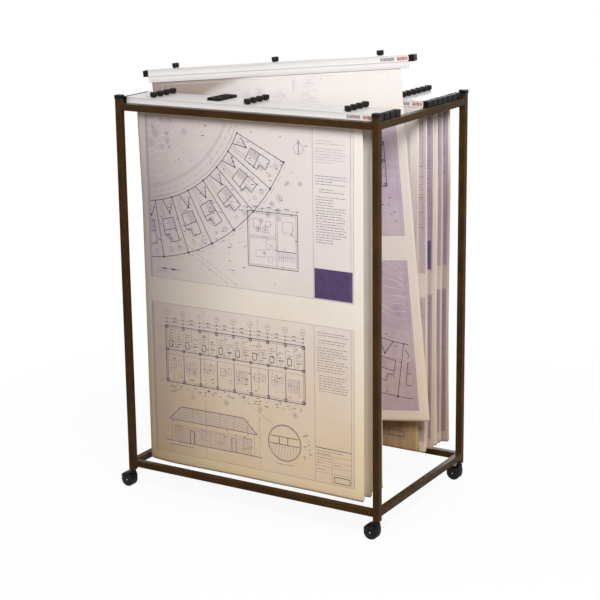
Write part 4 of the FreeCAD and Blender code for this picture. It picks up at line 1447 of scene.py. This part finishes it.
def plot_plan(d, at, inner, deep, middle, step):
    """One plot of a site plan, about its middle angle: house, rooms, drive, survey marks and figures.
    Its places are shares of the plot's depth and of half the house's width."""
    half = step * 0.28

    def spot(down, across):
        return at(inner + deep * down, middle + half * across)

    def path(*places, width=None):
        d.stroke([spot(*place) for place in places], width)

    walls = ((0.34, -1), (0.76, -1), (0.76, 0.3), (0.62, 0.3), (0.62, 1), (0.34, 1))
    path(*walls, walls[0], width=d.bold)
    path((0.54, -1), (0.54, 1), width=d.bold)
    path((0.34, 0), (0.76, 0))
    for share in (0.16, 0.32, 0.48, 0.64, 0.80):
        path((0.36, share - 1), (0.54, share - 1))
        path((0.58 + 0.16 * share, 0.1), (0.58 + 0.16 * share, 0.8))
    for share in (0.5, 0.95):
        path((0, share), (0.34, share))
    path((0.10, -1.5), (0.26, -0.6), (0, 0.2), width=d.bold * 1.15)
    d.ring(spot(0.26, -0.6), 0.0025, d.bold, steps=5)
    for down, across, radius in ((0.13, -0.9, 0.008), (0.87, 0.5, 0.006), (0.90, -0.8, 0.009),
                                 (0.90, -0.8, 0.004)):
        d.ring(spot(down, across), radius)
    for _ in range(16):
        x, s = at(inner + deep * d.draw.uniform(0.05, 0.97), middle + step * d.draw.uniform(-0.42, 0.42))
        d.line(x, s, x + d.draw.uniform(0.003, 0.009), s, d.draw.choice((d.fine, d.bold)))


def house(d, corner, width, height):
    """Enlarged house plan: double outer walls, rooms, doors, a stair and fittings."""
    x, s = corner
    plan = Area(d, x, s, width, height)
    t = 0.006
    right, low = x + width - t, s + height - t
    d.box(x, x + width, s, s + height, d.bold)
    d.box(x + t, right, s + t, low)
    split_x, split_s = plan.at(0.58, 0.46)
    for off in (-t / 2, t / 2):
        d.line(split_x + off, s + t, split_x + off, low)
        d.line(x + t, split_s + off, split_x, split_s + off)
    d.line(split_x, s + height * 0.68, right, s + height * 0.68, d.bold)
    door = width * 0.10
    for cx, cs, start in ((split_x, split_s + 0.02, 90), (x + width * 0.3, split_s, 0),
                          (right, s + height * 0.3, 90)):
        d.ring((cx, cs), door, start=start, end=start + 90)
        a = math.radians(start)
        d.line(cx, cs, cx + door * math.cos(a), cs + door * math.sin(a))
    for n in range(9):
        stair = split_x + 0.010 + n * (width * 0.34 / 9)
        d.line(stair, s + height * 0.70, stair, s + height * 0.86)
    d.line(split_x + 0.008, s + height * 0.78, x + width - 0.012, s + height * 0.78)
    for fitting in ((0.12, 0.26, 0.14, 0.30), (0.36, 0.46, 0.16, 0.26), (0.16, 0.34, 0.70, 0.82),
                    (0.70, 0.90, 0.14, 0.34), (0.40, 0.50, 0.80, 0.90)):
        d.box(*plan.span(*fitting))
    d.ring(plan.at(0.41, 0.62), 0.010)
    for share in (0.0, 0.3, 0.58, 1.0):
        tick = x + width * share
        d.line(tick, s - 0.014, tick, s - 0.004)
        d.line(tick - 0.003, s - 0.007, tick + 0.003, s - 0.013, d.bold)
    d.line(x - 0.004, s - 0.010, x + width + 0.004, s - 0.010)
    for share in (0.15, 0.44, 0.79):
        figure = x + width * share
        d.line(figure - 0.008, s - 0.015, figure + 0.008, s - 0.015, d.bold)


def scale_bar(d, x, s):
    unit, thick = 0.018, 0.004
    for n in range(5):
        d.box(x + n * unit, x + (n + 1) * unit, s, s + thick)
        if n % 2:
            d.line(x + n * unit, s + thick / 2, x + (n + 1) * unit, s + thick / 2, thick)
    d.notes(x, x + 0.070, s + 0.012, 1)


def north_mark(d, x, s, radius):
    d.ring((x, s), radius)
    tip, barb = s - radius * 1.5, s - radius * 0.7
    d.line(x, s + radius, x, tip, d.bold)
    d.stroke([(x - radius * 0.35, barb), (x, tip), (x + radius * 0.35, barb)])


def building_bay(d, n, x, top, bay, deep):
    """One bay of a long building's plan: walls, doors, a stair or fittings, figures and windows."""
    part = Area(d, x, top, bay, deep)
    part.line(0.5, 0, 0.5, 0.42)
    part.line(0, 0.5, 0, 1, d.bold)
    for k in (0.22, 0.72):
        door_x, door_s = part.at(k, 0.42)
        d.ring((door_x, door_s), bay * 0.14, start=180, end=270)
        d.line(door_x, door_s, door_x, door_s - bay * 0.14)
    if n % 3 == 1:
        for k in range(8):
            part.line(0.14 + 0.09 * k, 0.60, 0.14 + 0.09 * k, 0.86)
        part.line(0.1, 0.73, 0.82, 0.73)
    else:
        d.box(*part.span(0.2, 0.52, 0.62, 0.76))
        d.box(*part.span(0.66, 0.84, 0.60, 0.72))
        part.line(0.2, 0.69, 0.52, 0.69)
    for left, right, down in ((0.10, 0.42, 0.10), (0.60, 0.94, 0.16)):
        d.notes(*part.span(left, right, down, 0)[:3], 3)
    d.box(*part.span(0.12, 0.34, 0.24, 0.36), d.bold)
    part.line(0.62, 0.30, 0.90, 0.30, d.bold)
    part.line(0.62, 0.30, 0.76, 0.36)
    d.marks(*part.span(0.04, 0.92, 1.04, 1.22), 9)
    d.marks(*part.span(0.08, 0.86, 0.04, 0.38), 6)
    d.marks(*part.span(0.08, 0.86, 0.54, 0.96), 9)
    d.hatch(*part.span(0.04, 0.20, 0.80, 0.97), 0.005)


def long_building(d, field, bays):
    """Floor plan of a long building on a grid, with its elevation underneath and a round detail."""
    x0, x1, s0, s1 = field
    left, right = x0 + 0.055, x1 - 0.035
    top, deep = s0 + 0.075, (s1 - s0) * 0.36
    low = top + deep
    bay = (right - left) / bays
    walls = [top + deep * share for share in (0.0, 0.42, 1.0)]
    for n in range(bays + 1):
        x = left + bay * n
        d.dashes((x, s0 + 0.034), (x, low + 0.012), 0.014, 0.005)
        d.ring((x, s0 + 0.024), 0.0095, steps=14)
        d.line(x - 0.003, s0 + 0.024, x + 0.003, s0 + 0.024, d.bold)
        for s in walls:
            d.box(x - 0.004, x + 0.004, s - 0.004, s + 0.004, d.bold)
    for s in walls:
        d.dashes((x0 + 0.034, s), (right + 0.012, s), 0.014, 0.005)
        d.ring((x0 + 0.022, s), 0.0095, steps=14)
    d.box(left - 0.006, right + 0.006, top - 0.006, low + 0.006, d.bold)
    d.box(left, right, top, low)
    d.line(left, walls[1], right, walls[1], d.bold)
    d.line(left, top + deep * 0.50, right, top + deep * 0.50)
    for n in range(bays):
        x = left + bay * n
        building_bay(d, n, x, top, bay, deep)
        if n % 2:
            tree(d, (x + bay * 0.5, s0 + (s1 - s0) * 0.60), 0.009)
        for first, last in ((0.10, 0.30), (0.60, 0.88)):
            d.box(x + bay * first, x + bay * last, top - 0.006, top)
    for s in (s0 + 0.046, s0 + 0.058):
        d.line(left - 0.006, s, right + 0.006, s)
        for n in range(bays + 1):
            x = left + bay * n
            d.line(x - 0.003, s + 0.003, x + 0.003, s - 0.003, d.bold)
            if n < bays:
                d.line(x + bay * 0.4, s - 0.004, x + bay * 0.6, s - 0.004, d.bold)
    elevation(d, left, left + (right - left) * 0.66, s1 - 0.036, (s1 - s0) * 0.26)
    x, s = right - (right - left) * 0.14, s1 - (s1 - s0) * 0.20
    round_detail(d, x, s)
    d.notes(x - 0.030, x + 0.040, s + 0.074, 1)
    d.marks(x + 0.066, x1 - 0.012, s - 0.05, s + 0.05, 12)
    d.dashes((x - 0.04, s - 0.055), (left + (right - left) * 0.5, low), 0.010, 0.005)
    for share in (0.33, 0.67):
        x = x0 + (x1 - x0) * share
        d.dashes((x, s0), (x, s1), 0.020, 0.008)


def round_detail(d, x, s):
    """Enlarged detail in a double ring."""
    d.ring((x, s), 0.062, d.bold, steps=40)
    d.ring((x, s), 0.058, steps=40)
    for n in range(-4, 5):
        off = n * 0.011
        half = math.sqrt(max(0.0, 0.056 ** 2 - off ** 2))
        d.line(x + off - 0.004, s + half * 0.96, x + off + 0.004, s + half * 0.15)
    d.line(x - 0.057, s + 0.006, x + 0.057, s + 0.006, d.bold)
    d.line(x - 0.052, s - 0.020, x + 0.052, s - 0.020, d.bold)
    d.box(x - 0.020, x + 0.012, s - 0.020, s + 0.006, d.bold)


def elevation(d, x0, x1, ground, height):
    """Side view of a building: ground line, walls, pitched roof, windows and doors."""
    wall, ridge = ground - height * 0.58, ground - height * 0.95
    d.line(x0 - 0.02, ground, x1 + 0.02, ground, d.bold)
    d.hatch(x0 - 0.02, x1 + 0.02, ground, ground + 0.007, 0.006)
    d.marks(x0, x1, ground - height * 0.55, ground - height * 0.04, 26)
    for n in range(3, 13):
        s = wall + (ground - wall) * n / 13
        d.line(x0 + 0.02, s, x1 - 0.02, s)
    d.stroke([(x0 + 0.01, ground), (x0 + 0.01, wall), (x1 - 0.01, wall), (x1 - 0.01, ground)])
    d.loop([(x0, wall), (x0 + 0.05, ridge), (x1 - 0.05, ridge), (x1, wall)], d.bold)
    count, doors = 6, (1, 4)
    bay = (x1 - x0 - 0.02) / count
    for n in range(count):
        part = Area(d, x0 + 0.01 + bay * n, ground, bay, -height)
        middle = part.x + bay * 0.5
        d.line(middle, wall, middle + 0.004, ridge)
        if n in doors:
            d.box(*part.span(0.35, 0.65, 0.36, 0), d.bold)
        else:
            d.box(*part.span(0.2, 0.8, 0.42, 0.16))
            part.line(0.5, 0.42, 0.5, 0.16)
    for n in range(1, 9):
        s = wall - (wall - ridge) * n / 9
        d.line(x0 + 0.05 * n / 9, s, x1 - 0.05 * n / 9, s)
    d.notes(x0, x0 + 0.10, ground + 0.012, 1)


def ink_mesh(pack, drawing):
    """The strokes as flat raised ribbons that follow the first sheet."""
    patches = np.array(drawing.patches)
    front = pack.points(0, patches[..., 0], patches[..., 1], pack.looks.thickness / 2 + INK_LIFT)
    back = pack.points(0, patches[..., 0], patches[..., 1], pack.looks.thickness / 2 + INK_LIFT * 0.3)
    count = len(patches)
    points = np.concatenate([front, back], axis=1).reshape(-1, 3)
    corners = np.array([[0, 3, 2, 1], [4, 5, 6, 7], [0, 1, 5, 4], [1, 2, 6, 5], [2, 3, 7, 6], [3, 0, 4, 7]])
    faces = (np.arange(count)[:, None, None] * 8 + corners).reshape(-1, 4)
    mesh = bpy.data.meshes.new(pack.name + "_drawing")
    mesh.from_pydata(points.tolist(), [], faces.tolist())
    for kind in INKS:
        mesh.materials.append(plan_ink(kind))
    mesh.polygons.foreach_set("material_index", np.repeat(drawing.finishes, 6).astype(np.int32))
    return mesh


def bounded(d, field):
    """The drawing, with its strokes held inside one field."""
    d.limits = field
    return d


def drawing_for(kind, looks, pack, panel_top, panel_right, seed):
    """The plan printed on a pack's first sheet."""
    d = Drawing(looks, pack.width, pack.length, panel_top, panel_right, seed)
    if kind == "estate":
        upper, lower = sheet_frame(d, 0.100)
        crescent(bounded(d, upper), upper, False, 7)
        long_building(bounded(d, lower), lower, 8)
    elif kind == "building":
        upper, lower = sheet_frame(d, columns=False)
        long_building(bounded(d, upper), upper, 6)
        crescent(bounded(d, lower), lower, True, 6)
    else:
        upper, lower = sheet_frame(d)
        x0, x1, s0, s1 = bounded(d, upper).limits
        house(d, (x0 + 0.08, s0 + 0.09), (x1 - x0) * 0.70, (s1 - s0) * 0.62)
        elevation(d, x0 + 0.06, x1 - 0.06, s1 - 0.05, (s1 - s0) * 0.2)
        crescent(bounded(d, lower), lower, seed % 2 == 0, 5)
    d.limits = (0.0, d.width, 0.0, d.length)
    if panel_top > 0.1:
        d.faded = True
        s1 = panel_top * d.length
        d.box(d.width * 0.04, d.width * 0.955, 0.034, s1 - 0.010)
        elevation(d, d.width * 0.36, d.width * 0.55, s1 - 0.045, 0.070)
        house(d, (d.width * 0.58, 0.055), d.width * 0.11, 0.070)
        d.marks(d.width * 0.40, d.width * 0.72, 0.045, s1 - 0.02, 40)
    return d


# For each pack: kind of drawing, tint of the panels, how brown its lower half goes (ageing together with
# # painted warm shade), tan paper or not, top and right edge of the toned panel, how far the pack has slid to
# # the right in its hanger, how much painted shade dims it and how dark a painted shadow makes its upper left
# part.
PACK_KINDS = {
    "front_hanger_1": ("estate", 0.26, 0.95, False, 0.030, 0.962, 0.0, 0.0, 0.0),
    "front_hanger_2": ("details", 0.25, 0.80, False, 0.030, 0.962, 0.006, 0.0, 0.0),
    "front_hanger_3": ("building", 0.30, 0.85, False, 0.030, 0.962, 0.008, 0.0, 0.0),
    "front_hanger_4": ("details", 0.25, 0.85, False, 0.030, 0.962, 0.005, 0.0, 0.0),
    RAISED_HANGER: ("building", 1.0, 0.60, False, 0.150, 0.966, 0.0, 0.40, 0.75),
    "rear_hanger_1": ("details", 0.30, 0.95, True, 0.030, 0.962, -0.005, 0.65, 0.0),
    "rear_hanger_2": ("details", 0.80, 0.60, False, 0.030, 0.996, 0.006, 0.45, 0.0),
    "rear_hanger_3": ("building", 0.25, 0.60, False, 0.030, 0.962, -0.012, 0.50, 0.0),
    "rear_hanger_4": ("estate", 1.0, 0.60, False, 0.030, 0.996, -0.004, 0.80, 0.0),
    "rear_hanger_5": ("details", 0.30, 0.60, False, 0.030, 0.962, -0.008, 0.45, 0.0),
    "rear_hanger_6": ("building", 1.0, 0.60, False, 0.030, 0.997, -0.009, 0.70, 0.0),
    "rear_hanger_7": ("details", 1.0, 0.50, False, 0.030, 0.992, 0.0, 0.95, 0.0),
}


class RACK_OT_plans(bpy.types.Operator):
    """Hang the packs of printed plans from the hangers"""
    bl_idname = "rack.plans"
    bl_label = "Plans"

    def execute(self, context):
        looks = context.scene.rack_packs
        for seed, (name, details) in enumerate(PACK_KINDS.items()):
            kind, tint, age_and_lower_shade, tan, panel_top, panel_right, slide, shade_dimming, upper_left_shadow = details
            raised = name == RAISED_HANGER
            place = raised_place() if raised else seated_place(name)
            node = name + "_plans"
            low, high = own_box(node, place)
            width = looks.raised_width if raised else looks.width
            left = (low.x + high.x - width) / 2 + slide
            count = looks.raised_sheets if raised else looks.sheets
            lean = 0.0 if name == FRONT_HANGERS[0] else 0.0015
            flare = looks.flare if name in REAR_HANGERS else 0.0
            pack = Pack(name, place, left, width, high.z - low.z, count, looks, seed + 11, lean, flare)
            drawing = drawing_for(kind, looks, pack, panel_top, panel_right, seed + 3)
            print_piece = place_piece(name + "_drawing", ink_mesh(pack, drawing), name, place)
            finishes = (plan_paper(tint, age_and_lower_shade, tan, panel_top, panel_right, shade_dimming, upper_left_shadow), plain_paper(tan))
            for layer in range(count):
                sheet = place_piece(f"{name}_sheet_{layer + 1}", sheet_mesh(pack, layer, finishes), name,
                                    place)
                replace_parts(sheet, node)
        return {"FINISHED"}


def own_box(node, place):
    """Box of a fixed node in a hanger's own frame."""
    inward = place.inverted() @ frame["nodes"][node].matrix_world
    corners = [inward @ vertex.co for vertex in frame["nodes"][node].data.vertices]
    low = Vector([min(c[n] for c in corners) for n in range(3)])
    high = Vector([max(c[n] for c in corners) for n in range(3)])
    return low, high


# ---------------------------------------------------------------- stage
CAMERA_PLACE = (2.769, -4.559, 2.065)
CAMERA_AZIMUTH = 31.06        # degrees to the right of the front
CAMERA_PITCH = 13.73          # degrees downward
CAMERA_ROLL = -0.71
LAMP_AIM = (0.0, 0.0, 0.85)
# Name, place, width and colour of each lamp.
LAMPS = (
    ("key", (2.3, -2.3, 3.1), 1.5, (1.0, 0.99, 0.98)),
    ("fill", (-2.6, -3.4, 2.2), 2.4, (1, 1, 1)),
    ("back", (-0.8, 3.8, 1.35), 2.4, (1, 1, 1)),
    ("side", (-3.3, 1.2, 1.35), 2.0, (1, 1, 1)),
)
FLOOR_REACH = 14.0
SENSOR_WIDTH = 36.0           # millimetres


def seen_directly(tree):
    """1 on rays from the camera and on those that mirrors and glass pass on, 0 on all others."""
    rays = tree.nodes.new("ShaderNodeLightPath")
    result = rays.outputs["Is Camera Ray"]
    for kind in ("Is Glossy Ray", "Is Transmission Ray"):
        either = tree.nodes.new("ShaderNodeMath")
        either.operation = "MAXIMUM"
        tree.links.new(result, either.inputs[0])
        tree.links.new(rays.outputs[kind], either.inputs[1])
        result = either.outputs[0]
    return result


def white_mixed_in(tree, share, shader, white, output):
    """Feeds a shader to an output, with this share of plain white mixed in."""
    mixed = tree.nodes.new("ShaderNodeMixShader")
    tree.links.new(share, mixed.inputs[0])
    tree.links.new(shader.outputs[0], mixed.inputs[1])
    tree.links.new(white.outputs[0], mixed.inputs[2])
    tree.links.new(mixed.outputs[0], output.inputs["Surface"])


def floor_material(settings):
    """Pale floor. The camera sees white with the rack's shadow on it, and plain white further off."""
    f = Finish("pale floor", 0.9, specular=0.0)
    seen = seen_directly(f.tree)
    pale = f.mix(f.noise(3, 3), linear(settings.floor), shade(settings.floor, 0.97))
    f.colour(f.mix(seen, pale, (0.93, 0.93, 0.93, 1)))
    away = f.node("ShaderNodeVectorMath", operation="LENGTH")
    f.feed(away.inputs[0], f.place)
    glow = f.remap(away.outputs["Value"], 0.9, 2.4, settings.floor_glow, 1.0)
    white_mixed_in(f.tree, f.maths("MULTIPLY", seen, glow), f.surface, f.node("ShaderNodeEmission"),
                   f.tree.nodes["Material Output"])
    return f.material


def area_lamp(name, place, size, power, colour):
    lamp = bpy.data.lights.new(name, "AREA")
    lamp.shape = "DISK"
    lamp.size = size
    lamp.energy = power
    lamp.color = colour
    holder = bpy.data.objects.new(name, lamp)
    holder.location = place
    holder.rotation_euler = (Vector(LAMP_AIM) - Vector(place)).to_track_quat("-Z", "Y").to_euler()
    bpy.context.scene.collection.objects.link(holder)


def camera_turn():
    """Turn of the camera from its azimuth, pitch and roll."""
    azimuth, pitch, roll = (math.radians(a) for a in (CAMERA_AZIMUTH, CAMERA_PITCH, CAMERA_ROLL))
    ahead = Vector((-math.sin(azimuth) * math.cos(pitch), math.cos(azimuth) * math.cos(pitch),
                    -math.sin(pitch)))
    level = Vector((math.cos(azimuth), math.sin(azimuth), 0))
    above = level.cross(ahead)
    right = level * math.cos(roll) + above * math.sin(roll)
    up = above * math.cos(roll) - level * math.sin(roll)
    return Matrix((right, up, -ahead)).transposed().to_4x4()


class RACK_OT_stage(bpy.types.Operator):
    """Lay the pale floor and set the lamps and the camera"""
    bl_idname = "rack.stage"
    bl_label = "Stage"

    def execute(self, context):
        scene = context.scene
        settings = scene.rack_stage
        scene.view_settings.view_transform = "Standard"

        world = bpy.data.worlds.new("even light")
        world.use_nodes = True
        tree = world.node_tree
        light = tree.nodes["Background"]
        light.inputs["Color"].default_value = (1, 1, 1, 1)
        light.inputs["Strength"].default_value = settings.dome
        white = tree.nodes.new("ShaderNodeBackground")
        white.inputs["Color"].default_value = (1, 1, 1, 1)
        white_mixed_in(tree, seen_directly(tree), light, white, tree.nodes["World Output"])
        scene.world = world

        mesh = bpy.data.meshes.new("floor")
        corners = [(x * FLOOR_REACH, y * FLOOR_REACH, 0) for x, y in ((-1, -1), (1, -1), (1, 1), (-1, 1))]
        mesh.from_pydata(corners, [], [(0, 1, 2, 3)])
        mesh.materials.append(floor_material(settings))
        floor = bpy.data.objects.new("floor", mesh)
        scene.collection.objects.link(floor)

        for name, place, size, colour in LAMPS:
            area_lamp(name, place, size, getattr(settings, name + "_power"), colour)

        data = bpy.data.cameras.new("camera")
        data.lens = settings.lens
        data.sensor_width = SENSOR_WIDTH
        data.shift_y = settings.lens_shift
        camera = bpy.data.objects.new("camera", data)
        camera.matrix_world = Matrix.Translation(CAMERA_PLACE) @ camera_turn()
        scene.collection.objects.link(camera)
        scene.camera = camera
        return {"FINISHED"}


# ---------------------------------------------------------------- add-on
STEPS = ("frame", "castors", "seated_hangers", "raised_hanger", "plans", "stage")


class RACK_PT_panel(bpy.types.Panel):
    """Settings of the plan rack and the steps that build it"""
    bl_idname = "RACK_PT_panel"
    bl_label = "Plan rack"
    bl_space_type = "VIEW_3D"
    bl_region_type = "UI"
    bl_category = "Plan rack"

    def draw(self, context):
        for setting, group in SETTINGS.items():
            box = self.layout.box()
            box.label(text=group.__doc__)
            for name in group.__annotations__:
                box.prop(getattr(context.scene, setting), name)
        for step in STEPS:
            self.layout.operator("rack." + step)


OPERATORS = (RACK_OT_frame, RACK_OT_castors, RACK_OT_seated_hangers, RACK_OT_raised_hanger, RACK_OT_plans,
             RACK_OT_stage)
CLASSES = (*SETTINGS.values(), *OPERATORS, RACK_PT_panel)


def register():
    for made in CLASSES:
        bpy.utils.register_class(made)
    for name, group in SETTINGS.items():
        setattr(bpy.types.Scene, name, bpy.props.PointerProperty(type=group))


def unregister():
    for name in SETTINGS:
        delattr(bpy.types.Scene, name)
    for made in reversed(CLASSES):
        bpy.utils.unregister_class(made)


def main():
    register()
    for step in STEPS:
        getattr(bpy.ops.rack, step)()


if __name__ == "__main__":
    main()
